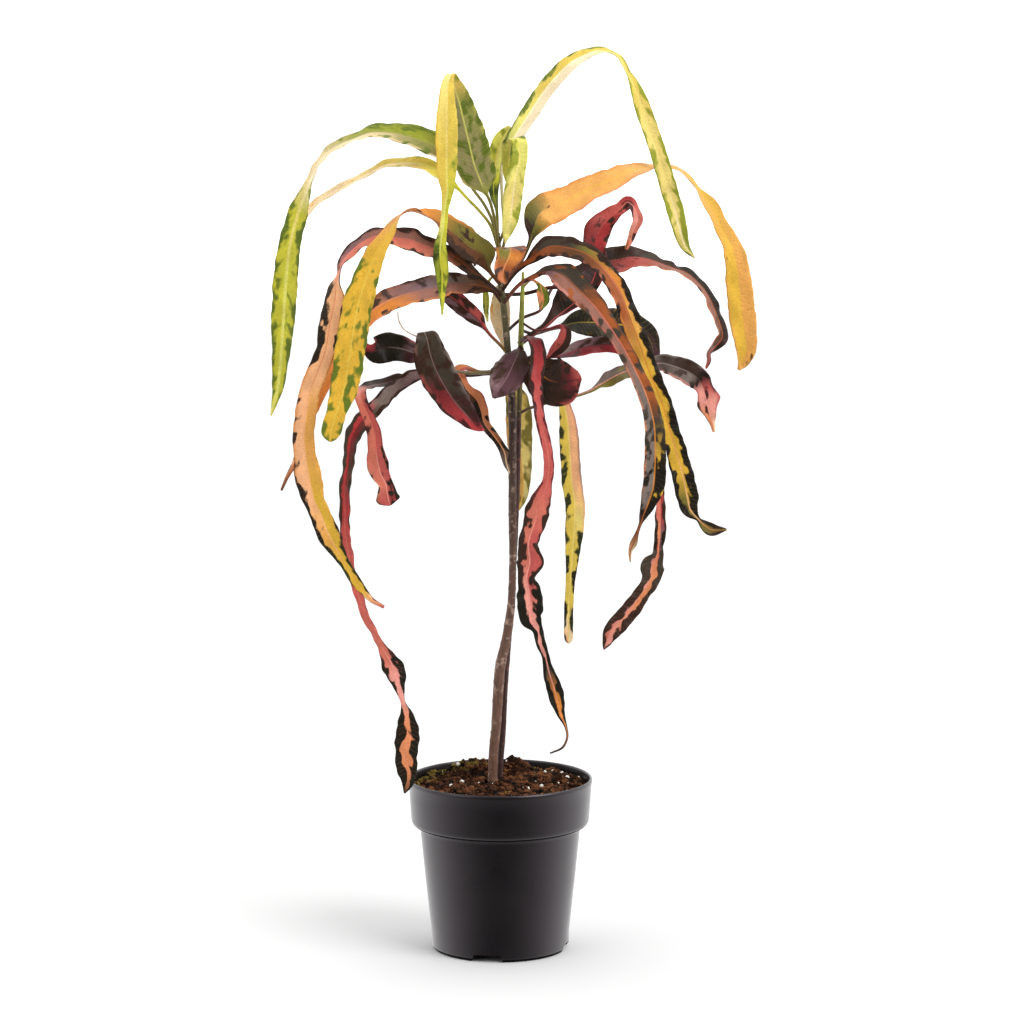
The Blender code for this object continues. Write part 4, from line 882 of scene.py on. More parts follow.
# ------------------------------------------------------------------ high arching leaves
# Young full-length leaves from just under the crown. They arch up and out, and their own weight
# turns them over, so that the blade hangs straight down from the bend.
grow_leaf(
    "leaf_lime_arch_left", "leaf_lime", fold=0.16, wave=0.7, pitch=26, seed=5, rib=1.2, rim=0.5,
    route=[
        (-1, 0, 459, 2), (-5, 6, 474, 2), (-10, 10, 484, 2), (-16, 14, 492, 2), (-25, 19, 504, 2),
        (-32, 22, 511, 3), (-37, 24, 517, 10), (-43, 26, 522, 18), (-53, 29, 526, 17.5), (-65, 33, 529, 17),
        (-75, 36, 530, 16), (-85, 39, 529.5, 15), (-94, 42, 526, 13), (-104, 45, 522, 11),
        (-112, 48, 517, 9), (-118, 50, 510, 8), (-123, 52, 501, 8), (-127, 53, 490, 10.5),
        (-132, 54, 477, 14), (-137, 55, 459, 15), (-140, 56, 439, 17), (-142, 56, 413, 17),
        (-144, 55, 386, 12.5), (-146, 54, 365, 8.5), (-148, 53, 355, 5), (-151, 52, 344, 1),
    ],
    faces={
        0: (0, 30), 6: (0, 15), 8: (0, 38), 10: (0, 54), 12: (0, 62), 14: (-25, 48), 16: (-60, 14),
        18: (-18, 0), 25: (-10, 0),
    },
    paint=[
        (0, "olive", "green", 0, 0),
        (6, "lime olive moss olive cream", "green", 0.2, 0.1),
        (8, "leafgreen leafgreen leafgreen moss peach", "green", 0.3, 0.1),
        (12, "moss leafgreen moss peach peach", "green", 0.2, 0),
        (15, "peach peach cream peach peach", "leafgreen", 0, 0),
        (16, "peach peach cream cream peach", "leafgreen", 0.1, 0.05),
        (18, "straw lime butter lime lime", "green", 0.05, 0.34),
        (20, "lime lime pear lime lime", "green", 0.3, 0.42),
        (23, "lime lime pear lime lime", "green", 0.38, 0.38),
        (25, "lime lime pear lime lime", "green", 0.55, 0.5),
    ],
)
grow_leaf(
    "leaf_peach_arch_left", "leaf_gold", fold=0.2, wave=0.5, pitch=33, seed=6,
    route=[
        (-1, 0, 456, 2), (-6, 2, 471, 2), (-13, 6, 480, 2), (-21, 12, 488, 2), (-28, 18, 495, 3),
        (-39, 24, 504, 10), (-49, 30, 509, 10.5), (-62, 38, 510, 11), (-75, 46, 508, 11),
        (-89, 54, 501, 10.5), (-102, 62, 494, 10), (-112, 67, 489, 10), (-123, 72, 481, 9),
        (-131, 76, 471, 8), (-134, 78, 458, 6), (-136, 79, 443, 1),
    ],
    faces={0: (0, 40), 5: (0, 32), 7: (0, 52), 9: (0, 58), 12: (-25, 50), 15: (-60, 10)},
    paint=[
        (0, "olive", "green", 0, 0),
        (4, "leafgreen lime lime lime pear", "green", 0.2, 0.1),
        (6, "lime straw pear straw peach", "leafgreen", 0.25, 0.1),
        (8, "straw straw cream peach peach", "lime", 0.1, 0.1),
        (10, "peach peach cream peach cream", "amber", 0.1, 0),
        (15, "peach", "amber", 0.1, 0.1),
    ],
)
grow_leaf(
    "leaf_crown_arch_right", "leaf_lime", fold=0.2, wave=0.5, pitch=29, seed=7, rib=0.7, rim=0.6,
    route=[
        (-0.5, 0, 451, 2), (3, 3, 462, 2), (1.5, 4.5, 487, 2), (1, 8, 506, 2), (3, 10, 514, 3),
        (6, 13, 521, 9), (12, 18, 531, 10.5), (21, 26, 545, 11.5), (30, 34, 558, 11.5), (39, 40, 568, 11.5),
        (47, 45, 575, 11.5), (55, 50, 579, 11), (63, 55, 582, 10), (72, 58, 581, 8.5), (78, 60, 577, 8),
        (83, 61, 568, 8), (87, 62, 560, 9), (92, 63, 548, 10.5), (97, 63, 534, 11), (104, 63, 514, 11),
        (109, 64, 497, 11.5), (114, 65, 481, 11.5), (118, 66, 466, 10), (122, 66, 454, 6),
        (128, 66, 447, 1),
    ],
    faces={
        0: (0, 0), 2: (0, 10), 8: (0, 20), 10: (0, 40), 12: (0, 66), 13: (20, 70), 15: (65, 20),
        17: (15, 0), 24: (10, 0),
    },
    paint=[
        (0, "olive", "green", 0, 0),
        (4, "sand sand cream moss ash", "green", 0, 0.2),
        (6, "sand sand cream pear moss", "green", 0, 0.3),
        (8, "sand sand cream straw pear", "green", 0, 0.25),
        (11, "sand sand cream straw straw", "green", 0, 0.1),
        (13, "butter butter butter straw straw", "leafgreen", 0, 0.1),
        (16, "straw straw butter straw straw", "leafgreen", 0.2, 0.25),
        (18, "straw butter butter butter straw", "leafgreen", 0.12, 0.25),
        (20, "straw butter butter butter straw", "leafgreen", 0.4, 0.4),
        (22, "straw butter cream butter straw", "leafgreen", 0.62, 0.55),
        (24, "leafgreen leafgreen butter leafgreen leafgreen", "green", 0.5, 0.5),
    ],
)
grow_leaf(
    "leaf_orange_right", "leaf_gold", fold=0.12, wave=0.6, pitch=35, seed=8, veins=0.06, rim=0.0,
    route=[
        (0.3, 0, 437, 2.5), (8, -5, 441, 2.5), (13, -9, 448, 2.5), (17, -12, 456, 2.5), (20, -13, 464, 4),
        (22, -12, 471, 14), (26, -8, 479, 21.5), (34, 0, 483, 21), (46, 12, 488, 19), (58, 26, 494, 17.5),
        (72, 40, 499, 17), (84, 54, 504, 15.5), (93, 64, 506, 13), (102, 72, 507, 10.5),
        (111, 79, 506, 9.5), (119, 84, 504, 9.5), (127, 88, 496, 10), (134, 90, 487, 11.5),
        (141, 92, 478, 13.5), (147, 93, 466, 14), (153, 94, 455, 16), (157, 94, 442, 18.5),
        (159, 94, 426, 19.5), (161, 93, 409, 19), (163, 92, 394, 17.5), (164, 91, 384, 14),
        (162, 90, 376, 8), (159, 89, 371, 1.5),
    ],
    faces={
        0: (0, 0), 6: (0, 5), 9: (0, 22), 11: (0, 46), 13: (0, 78), 15: (60, 60), 16: (80, 20), 18: (52, 0),
        20: (42, 0), 22: (20, 0), 27: (10, 0),
    },
    paint=[
        (0, "salmon", "brown", 0, 0),
        (3, "olive forest olive forest olive", "umber", 0.2, 0.2),
        (4, "olive forest olive forest olive", "umber", 0.4, 0.4),
        (5, "orange olive olive forest olive", "umber", 0.2, 0.4),
        (6, "orange amber amber olive olive", "umber", 0, 0.2),
        (7, "orange amber amber amber orange", "brown", 0, 0),
        (8, "salmon amber gold amber orange", "rust", 0, 0),
        (12, "salmon amber gold amber orange", "rust", 0, 0),
        (15, "orange amber gold amber amber", "rust", 0, 0),
        (17, "amber amber gold gold amber", "brown", 0.04, 0),
        (21, "amber gold gold amber amber", "brown", 0.035, 0),
        (25, "amber gold gold amber amber", "brown", 0.035, 0.03),
        (27, "amber amber amber amber brown", "brown", 0.2, 0.3),
    ],
)

# ------------------------------------------------------------------ left side leaves
# Older leaves on the left of the main stem: gold, salmon and dark orange straps that hang low, and
# shorter crimson and purple ones on thin petioles half-way up.
grow_leaf(
    "leaf_gold_left_front", "leaf_gold", fold=0.12, wave=0.6, pitch=30, seed=9, veins=0.06, rim=0.2,
    edge=0.07,
    route=[
        (0.6, 0, 433, 2.5), (-4, -6, 439, 2.5), (-8, -9, 445, 5), (-11, -13, 453, 18.5),
        (-19, -20, 459, 19.5), (-28, -28, 467, 19), (-38, -38, 475, 16.5), (-45, -46, 479, 14),
        (-51, -53, 482, 11), (-56, -59, 483, 10), (-61, -63, 481, 10), (-66, -67, 474, 11),
        (-71, -70, 466, 12.5), (-76, -73, 458, 13.5), (-80, -75, 448, 15.5), (-84, -77, 437, 17.5),
        (-88, -79, 422, 19), (-91, -81, 404, 19), (-94, -82, 385, 18.5), (-97, -82, 371, 16.5),
        (-101, -82, 359, 12), (-104, -81, 349, 13), (-105, -80, 341, 8),
    ],
    faces={
        0: (0, 40), 4: (0, 20), 6: (0, 32), 8: (0, 72), 10: (-78, 30), 12: (-36, 5), 15: (-12, 0),
        22: (0, 0),
    },
    paint=[
        (0, "brown", "umber", 0.2, 0.2),
        (3, "olive olive brown brown brown", "umber", 0.1, 0.5),
        (4, "olive olive olive brown brown", "umber", 0.06, 0.6),
        (5, "orange olive olive brown brown", "umber", 0.06, 0.5),
        (7, "orange orange orange rust rust", "umber", 0, 0.4),
        (8, "orange", "rust", 0, 0.2),
        (9, "orange orange salmon orange orange", "umber", 0.05, 0.1),
        (10, "orange orange amber orange orange", "rust", 0, 0),
        (11, "orange amber gold gold amber", "green", 0, 0),
        (13, "amber gold gold gold gold", "green", 0.03, 0),
        (15, "gold gold straw gold gold", "green", 0.2, 0.14),
        (17, "gold gold straw gold gold", "green", 0.27, 0.3),
        (19, "gold gold straw gold gold", "green", 0.28, 0.32),
        (21, "gold gold straw gold gold", "green", 0.34, 0.2),
        (22, "gold", "green", 0.35, 0.35),
    ],
)
grow_leaf(
    "leaf_salmon_left_long", "leaf_salmon", fold=0.14, wave=0.9, pitch=24, seed=6, veins=0.05, rim=0.6,
    route=[
        (1.4, 0, 426, 2.5), (-3, -5, 431, 2.5), (-11, -10, 438, 3), (-19, -15, 444, 8.5),
        (-28, -22, 452, 11.5), (-37, -29, 456, 12.5), (-47, -37, 460, 14.5), (-56, -44, 464, 15.5),
        (-67, -51, 466, 14), (-77, -57, 467, 12), (-86, -61, 463, 10.5), (-92, -64, 458, 10),
        (-97, -66, 452, 9.5), (-99, -67, 446, 8.5), (-101, -68, 438, 10), (-102, -69, 428, 13.5),
        (-105, -70, 414, 13.5), (-108, -71, 397, 12.5), (-114, -71, 381, 13), (-118, -71, 371, 13),
        (-120, -71, 359, 13.5), (-122, -71, 343, 13.5), (-121, -70, 331, 14.5), (-119, -69, 317, 17),
        (-116, -68, 303, 14), (-112, -67, 294, 13), (-107, -66, 281, 14.5), (-102, -64, 271, 10),
        (-97, -63, 262, 6.5), (-91, -62, 252, 7), (-86, -61, 245, 5), (-81, -60, 239, 3.5),
        (-73, -59, 234, 2),
    ],
    faces={
        0: (0, 40), 4: (0, 32), 7: (0, 23), 9: (0, 45), 11: (0, 60), 13: (-78, 25), 15: (-15, 5),
        20: (-8, 0), 32: (0, 0),
    },
    paint=[
        (0, "umber", "umber", 0, 0),
        (2, "umber brown umber", "black", 0.3, 0.3),
        (4, "umber brown rust brown rust", "umber", 0.4, 0.35),
        (7, "brown clay coral coral salmon", "umber", 0.42, 0.12),
        (9, "brown clay coral coral salmon", "umber", 0.45, 0.08),
        (11, "umber mauve coral coral salmon", "umber", 0.4, 0.04),
        (13, "salmon coral pink coral rust", "umber", 0.1, 0.15),
        (14, "plum apricot salmon apricot orange", "coal", 0.5, 0.12),
        (17, "coal apricot salmon apricot orange", "black", 0.5, 0.12),
        (18, "orange apricot salmon apricot amber", "umber", 0, 0),
        (20, "orange apricot apricot amber amber", "umber", 0.06, 0),
        (22, "orange apricot apricot amber amber", "umber", 0.06, 0),
        (24, "umber apricot apricot gold amber", "black", 0.2, 0),
        (26, "umber amber apricot gold amber", "black", 0.34, 0.06),
        (28, "black gold amber gold gold", "forest", 0.5, 0.4),
        (30, "gold", "forest", 0.4, 0.4),
        (31, "peach apricot salmon apricot peach", "brown", 0.1, 0.1),
        (32, "rose", "wine", 0.1, 0.1),
    ],
)
grow_leaf(
    "leaf_dark_orange_left", "leaf_salmon", fold=0.12, wave=0.8, pitch=27, seed=11, rim=0.2,
    route=[
        (1.9, 0, 421, 2.5), (-4, -2, 429, 2.5), (-12, -3, 433, 11.5), (-22, -6, 434, 14),
        (-32, -11, 435, 14.5), (-40, -17, 433, 16.5), (-51, -24, 431, 16), (-60, -31, 429, 15),
        (-69, -37, 426, 15), (-78, -43, 421, 15), (-88, -49, 413, 14.5), (-97, -54, 402, 13),
        (-104, -57, 388, 12), (-111, -59, 373, 10.5), (-118, -60, 357, 9), (-123, -60, 339, 7),
        (-128, -60, 326, 4), (-133, -59, 317, 2.5), (-137, -58, 308, 1.5),
    ],
    faces={0: (0, 40), 2: (0, 30), 5: (0, 20), 8: (0, 22), 11: (-30, 10), 18: (-20, 0)},
    paint=[
        (0, "umber", "umber", 0, 0),
        (2, "umber brown rust brown umber", "umber", 0.4, 0.3),
        (4, "clay ash mauve clay salmon", "umber", 0.15, 0.06),
        (6, "clay mauve clay clay orange", "umber", 0.3, 0.06),
        (8, "rust clay salmon orange orange", "umber", 0.5, 0.12),
        (10, "rust orange salmon orange salmon", "umber", 0.66, 0.22),
        (12, "orange orange salmon orange salmon", "umber", 0.66, 0.06),
        (14, "salmon orange salmon orange salmon", "umber", 0.2, 0.03),
        (16, "rust apricot salmon salmon rust", "umber", 0.12, 0.06),
        (18, "brown", "umber", 0, 0),
    ],
)
grow_leaf(
    "leaf_purple_left_short", "leaf_maroon", fold=0.18, wave=0.4, pitch=21, seed=12, veins=0.05,
    route=[
        (5.2, 0, 389, 2), (-1, -1, 396, 2), (-6, -1, 401, 2), (-10, 0, 406, 3), (-14, 1, 411, 9),
        (-21, 2, 417, 11.5), (-28, 3, 423, 12), (-34, 4, 427, 10.5), (-40, 5, 430, 6), (-44, 5, 432, 1.5),
    ],
    faces={0: (0, 30), 4: (0, 0), 9: (0, 10)},
    paint=[
        (0, "olive", "green", 0, 0),
        (3, "rose crimson wine", "maroon", 0.1, 0.1),
        (4, "crimson rose wine mauve plum", "umber", 0.2, 0.6),
        (8, "crimson wine rose mauve plum", "umber", 0.3, 0.6),
        (9, "crimson", "maroon", 0.2, 0.2),
    ],
)
grow_leaf(
    "leaf_curled_dark_left", "leaf_maroon", fold=0.05, wave=1.5, pitch=23, seed=13, veins=0.05,
    route=[
        (5.3, 0, 388, 2), (-3, 2.5, 378, 2), (-12, 3, 376.5, 2), (-32, 2, 379, 2), (-45, 0, 386, 4),
        (-55, -3, 390, 14), (-64, -6, 393, 16.5), (-73, -10, 394, 19), (-79, -13, 392, 16.5),
        (-84, -15, 394, 8.5), (-86, -15, 397, 2),
    ],
    faces={0: (0, 60), 4: (0, 20), 7: (0, 0), 10: (-40, 0)},
    paint=[
        (0, "mauve", "plum", 0.1, 0.1),
        (4, "mauve mauve ash", "plum", 0.2, 0.2),
        (5, "rose mauve ash plum plum", "maroon", 0.3, 0.5),
        (6, "maroon black ash black black", "black", 0.7, 0.8),
        (7, "wine black maroon black black", "black", 0.8, 0.9),
        (8, "wine maroon maroon black maroon", "black", 0.4, 0.7),
        (9, "crimson crimson crimson wine wine", "black", 0.2, 0.4),
        (10, "crimson", "wine", 0.2, 0.2),
    ],
)
grow_leaf(
    "leaf_broad_purple_left", "leaf_maroon", fold=0.10, wave=1.2, pitch=26, seed=14, veins=0.05, rim=0.1,
    rib=0.4,
    route=[
        (6, 0, 381, 2), (-3, -7, 378.5, 2), (-22, -13, 378, 2), (-36, -17, 383, 2), (-45, -19, 393, 2.5),
        (-49, -22, 402, 5), (-48, -27, 405, 8.5), (-46, -31, 401, 15), (-44, -33, 392, 21),
        (-40, -34, 381, 23), (-34, -35, 370, 22), (-28, -35, 361, 19), (-21, -34, 353, 14),
        (-15, -33, 346, 7.5), (-10, -32, 343, 1),
    ],
    faces={0: (0, 60), 4: (0, 30), 6: (0, 80), 7: (0, 25), 10: (-15, 10), 14: (-10, 0)},
    paint=[
        (0, "olive", "green", 0, 0),
        (4, "ash mauve ash", "plum", 0.1, 0.1),
        (6, "plum umber ash umber plum", "umber", 0.3, 0.3),
        (7, "ash coal ash coal ash", "umber", 0.4, 0.4),
        (9, "rose coal mauve coal ash", "umber", 0.5, 0.35),
        (10, "rose wine mauve coal ash", "umber", 0.5, 0.35),
        (12, "rose crimson mauve umber plum", "maroon", 0.4, 0.5),
        (13, "rose crimson wine wine wine", "maroon", 0.35, 0.5),
        (14, "crimson", "wine", 0.1, 0.1),
    ],
)
grow_leaf(
    "leaf_red_strap_left", "leaf_crimson", fold=0.16, wave=1.2, pitch=17, seed=15, rim=1.0, edge=0.10,
    route=[
        (6.6, 0, 372, 2), (-3, -1.5, 376, 2), (-13, -1, 377, 2), (-32, -5, 376, 2), (-45, -10, 378, 4),
        (-53, -14, 377, 8.5), (-61, -18, 373, 9), (-69, -22, 367, 9.5), (-76, -26, 360, 10),
        (-82, -29, 354, 11), (-88, -32, 348, 11.5), (-93, -35, 339, 10), (-95, -37, 329, 8.5),
        (-96, -39, 319, 7), (-98, -40, 307, 7.5), (-98, -41, 292, 7), (-98, -41, 280, 6.5),
        (-96, -41, 267, 6), (-94, -41, 254, 5.5), (-90, -41, 240, 5.5), (-86, -41, 227, 5.5),
        (-80, -41, 215, 4.5), (-76, -41, 207, 5), (-70, -42, 197, 11.5), (-66, -42, 188, 13.5),
        (-64, -42, 180, 7.5), (-62, -43, 171, 3), (-60, -43, 164, 7), (-59, -43, 156, 13.5),
        (-59, -43, 145, 16), (-60, -43, 135, 13.5), (-59, -43, 126, 13), (-59, -43, 118, 8.5),
        (-61, -43, 111, 1),
    ],
    faces={0: (0, 60), 5: (0, 20), 10: (-20, 0), 21: (-10, 0), 33: (0, 0)},
    paint=[
        (0, "umber", "umber", 0, 0),
        (3, "ash", "plum", 0.2, 0.2),
        (5, "crimson mauve ash mauve ash", "umber", 0.15, 0.15),
        (8, "crimson ash ash ash rose", "umber", 0.15, 0.25),
        (9, "crimson crimson wine coal rose", "umber", 0.45, 0.4),
        (11, "rose crimson wine wine salmon", "coal", 0.5, 0.4),
        (13, "rose crimson wine coal salmon", "coal", 0.5, 0.2),
        (15, "rose crimson rose crimson rose", "umber", 0.35, 0.03),
        (17, "rose rose coral rose rose", "umber", 0.05, 0),
        (19, "rose rose coral rose rose", "wine", 0, 0),
        (22, "rose coral coral coral coral", "wine", 0, 0),
        (23, "coral coral pink coral coral", "black", 0.1, 0.7),
        (24, "pink", "black", 0.3, 0.75),
        (25, "pink", "black", 0.35, 0.3),
        (26, "pink", "black", 0.03, 0.03),
        (28, "coral salmon salmon salmon orange", "black", 0.84, 0.84),
        (31, "orange salmon salmon salmon orange", "black", 0.88, 0.86),
        (33, "umber", "black", 0.6, 0.6),
    ],
)
grow_leaf(
    "leaf_red_folded_left", "leaf_crimson", fold=0.2, wave=0.8, pitch=21, seed=16, rim=0.25,
    route=[
        (7.1, 0, 366, 2), (-3, 6, 375, 2), (-19, 7, 374.5, 2), (-45, 0, 375, 2), (-57, -6, 375, 2.5),
        (-64, -10, 374, 7), (-73, -14, 371.5, 9), (-83, -26, 370.5, 9), (-88, -37, 368, 8),
        (-86, -43, 361, 8), (-82, -45, 352, 8), (-79, -46, 343, 9.5), (-78, -47, 333, 10.5),
        (-77, -47, 325, 13.5), (-75, -47, 317, 12.5), (-72, -47, 311, 9.5), (-71, -47, 305, 12.5),
        (-70, -47, 300, 15.5), (-69, -47, 297, 7.5),
    ],
    faces={0: (0, 60), 5: (0, 40), 7: (-20, 40), 9: (-15, 0), 18: (0, 0)},
    paint=[
        (0, "umber", "umber", 0, 0),
        (4, "plum", "umber", 0.3, 0.3),
        (5, "plum umber plum umber plum", "umber", 0.4, 0.4),
        (7, "umber umber mauve umber maroon", "black", 0.4, 0.4),
        (8, "pink pink pink coral plum", "maroon", 0, 0.2),
        (9, "rose coral coral rose wine", "maroon", 0.05, 0.15),
        (12, "rose coral coral rose wine", "umber", 0.1, 0.2),
        (13, "coral coral pink rose rose", "black", 0.15, 0.45),
        (15, "apricot coral pink rose crimson", "black", 0.15, 0.5),
        (17, "umber rose pink crimson crimson", "black", 0.4, 0.6),
        (18, "umber rose rose rose ash", "black", 0.5, 0.4),
    ],
)
grow_leaf(
    "leaf_salmon_twist_left", "leaf_salmon", fold=0.2, wave=1.0, pitch=22, seed=17, rim=0.2, edge=0.1,
    route=[
        (5.7, 0, 385, 2), (-3, -4, 379, 2), (-13, -5, 378, 2), (-23, -8, 381, 4.5), (-27, -9, 379, 6.5),
        (-24, -11, 373, 6), (-21, -12, 367, 7), (-15, -13, 361, 10.5), (-12, -13, 354, 8.5),
        (-10, -13, 346, 7), (-5, -12, 339, 6), (0, -10, 332, 5), (3, -8, 326, 6), (4, -7.5, 320, 5),
        (6, -7, 313, 1),
    ],
    faces={0: (0, 60), 4: (0, 40), 6: (10, 0), 14: (0, 0)},
    paint=[
        (0, "umber", "umber", 0, 0),
        (2, "olive", "umber", 0.2, 0.2),
        (3, "salmon salmon rose", "umber", 0.2, 0.2),
        (6, "olive brown salmon salmon rose", "black", 0.6, 0.15),
        (8, "umber umber salmon salmon rose", "black", 0.8, 0.2),
        (11, "umber umber salmon brown salmon", "black", 0.6, 0.3),
        (14, "ash ash peach ash ash", "umber", 0.2, 0.2),
    ],
)
grow_leaf(
    "leaf_small_green_left", "leaf_lime", fold=0.2, wave=0.1, pitch=15, seed=18,
    route=[
        (0.2, 0, 440, 1.5), (-5, 7, 438, 1.5), (-9, 11, 431, 3), (-9, 12, 422, 4.5), (-9, 12, 416, 3.5),
        (-8, 11, 409, 1),
    ],
    faces={0: (-90, 60), 2: (-10, 10), 5: (0, 0)},
    paint=[
        (0, "olive", "green", 0, 0),
        (2, "leafgreen leafgreen lime leafgreen leafgreen", "green", 0.2, 0.2),
        (5, "pear", "green", 0, 0),
    ],
)

# ------------------------------------------------------------------ dry tendril
# A withered leaf tip: a thin curled thread of dry pale fibre, left standing by the curled dark leaf.
# It is one thread with no blade, so it is grown as a very thin stem.
TENDRIL = [
    (-64.8, -18, 419, 0.5), (-64.7, -18, 415, 0.7), (-63.9, -18, 411, 0.8), (-61.3, -18, 406.6, 0.8),
    (-58, -17.5, 404, 0.7), (-55.3, -16, 402.6, 0.8), (-52, -13, 400.6, 1.2), (-50, -8, 397.5, 1.4),
]
dry_fibre = bark("dry_fibre", (206, 184, 162), (196, 170, 148), (206, 184, 162), 0.455, (226, 208, 190))
hand_over(grow_stem("dry_tendril", TENDRIL, 3.1, 9.0, dry_fibre), None)

# ------------------------------------------------------------------ front leaves
# Broad dark leaves that curl towards the front from the second stem, and the long red one that
# hangs down in front of it, twisting towards its tip.
grow_leaf(
    "leaf_purple_front_left", "leaf_maroon", fold=0.05, wave=0.9, pitch=16, seed=19, veins=0.05,
    route=[
        (13.2, 4.3, 393, 2.5), (12, -8, 391, 9), (9, -17, 385, 20), (5, -25, 377, 22.5), (0, -31, 370, 16),
        (-4, -34, 364, 2),
    ],
    faces={0: (0, 80), 1: (0, 60), 3: (-10, 15), 5: (-10, 0)},
    paint=[
        (0, "umber", "umber", 0, 0),
        (2, "ash plum mauve umber plum", "umber", 0.25, 0.3),
        (3, "ash plum mauve plum plum", "umber", 0.2, 0.25),
        (4, "ash mauve mauve plum mauve", "umber", 0.12, 0.15),
        (5, "plum", "umber", 0.2, 0.2),
    ],
)
grow_leaf(
    "leaf_purple_front_right", "leaf_maroon", fold=0.05, wave=1.2, pitch=21, seed=20, veins=0.10,
    route=[
        (13.1, 4.6, 388, 2.5), (17, -7, 386, 9), (23, -13, 380, 22), (31, -18, 374, 30), (38, -22, 373, 32),
        (45, -25, 374, 24), (50, -26, 375, 11), (52, -26, 375, 2.5),
    ],
    faces={0: (0, 70), 2: (0, 15), 5: (0, 0), 7: (30, 0)},
    paint=[
        (0, "umber", "umber", 0, 0),
        (2, "maroon umber gold umber maroon", "umber", 0.5, 0.5),
        (3, "plum umber rust umber plum", "black", 0.6, 0.5),
        (4, "rose umber maroon umber maroon", "umber", 0.5, 0.4),
        (5, "rose wine maroon wine rose", "umber", 0.5, 0.5),
        (6, "rose rose wine rose rose", "maroon", 0.4, 0.4),
        (7, "crimson", "maroon", 0.2, 0.2),
    ],
)
grow_leaf(
    "leaf_small_folded_right", "leaf_maroon", fold=0.2, wave=0.3, pitch=14, seed=21, rim=0.2,
    route=[
        (13.8, 4, 409, 1.5), (23, 1, 404, 1.5), (31, -1, 405, 2), (39, -4, 407, 3.5), (42, -8, 404, 7.5),
        (40, -10, 397, 9), (35, -11, 392, 7.5), (30, -11, 387, 1.5),
    ],
    faces={0: (0, 50), 3: (0, 60), 5: (-10, 0), 7: (0, 0)},
    paint=[
        (0, "umber", "umber", 0, 0),
        (3, "wine rose wine", "umber", 0.1, 0.1),
        (4, "rose rose rose maroon umber", "umber", 0.3, 0.6),
        (7, "rose rose rose maroon umber", "umber", 0.3, 0.6),
    ],
)
grow_leaf(
    "leaf_red_centre_long", "leaf_crimson", fold=0.15, wave=1.5, pitch=22, seed=22, rim=0.9, edge=0.10,
    veins=0.0,
    route=[
        (13.4, 4.1, 397, 2.5), (17, -6, 400, 4), (20, -14, 400, 7), (24, -22, 395, 9.5), (24, -28, 386, 10),
        (23, -33, 374, 9), (24, -37, 362, 7), (26, -40, 349, 6.5), (29, -42, 337, 6.5), (31, -44, 324, 6.5),
        (30, -45, 312, 6.5), (27, -46, 303, 11.5), (24, -46, 295, 16), (22, -46, 286, 14),
        (19, -46, 277, 12.5), (18, -46, 271, 13.5), (19, -46, 261, 16.5), (17, -46, 251, 11),
        (18.5, -46, 242, 15.5), (19, -46, 233, 16.5), (20, -46, 225, 14), (24, -46, 217, 7),
        (26, -46, 209, 6.5), (29, -46, 200, 5), (31, -45, 191, 7), (34, -44, 181, 10), (37, -43, 170, 9),
        (39, -42, 162, 5), (42, -41, 154, 2), (43, -40, 147, 1.5), (40, -39, 140, 1.5), (32, -38, 136, 1),
    ],
    faces={0: (0, 70), 2: (0, 70), 4: (0, 10), 31: (0, 0)},
    paint=[
        (0, "wine", "maroon", 0.1, 0.1),
        (2, "wine", "umber", 0.5, 0.5),
        (4, "crimson", "umber", 0.35, 0.15),
        (6, "rose", "maroon", 0.08, 0.05),
        (8, "rose rose coral rose rose", "wine", 0.04, 0.04),
        (10, "rose rose coral rose rose", "wine", 0, 0.03),
        (12, "rose coral coral coral rose", "umber", 0.45, 0.05),
        (14, "rose coral pink rose wine", "umber", 0.6, 0.15),
        (16, "rose coral pink rose wine", "umber", 0.66, 0.1),
        (18, "rose pink pink rose wine", "black", 0.74, 0.7),
        (20, "rose pink pink pink rose", "black", 0.85, 0.85),
        (22, "rose pink pink pink rose", "black", 0.9, 0.85),
        (24, "ash coal pink coal coal", "black", 0.75, 0.75),
        (26, "rust orange salmon orange rust", "black", 0.82, 0.82),
        (28, "orange orange salmon orange rust", "black", 0.8, 0.84),
        (30, "umber", "black", 0.5, 0.5),
        (31, "ash umber ash", "black", 0.2, 0.2),
    ],
)

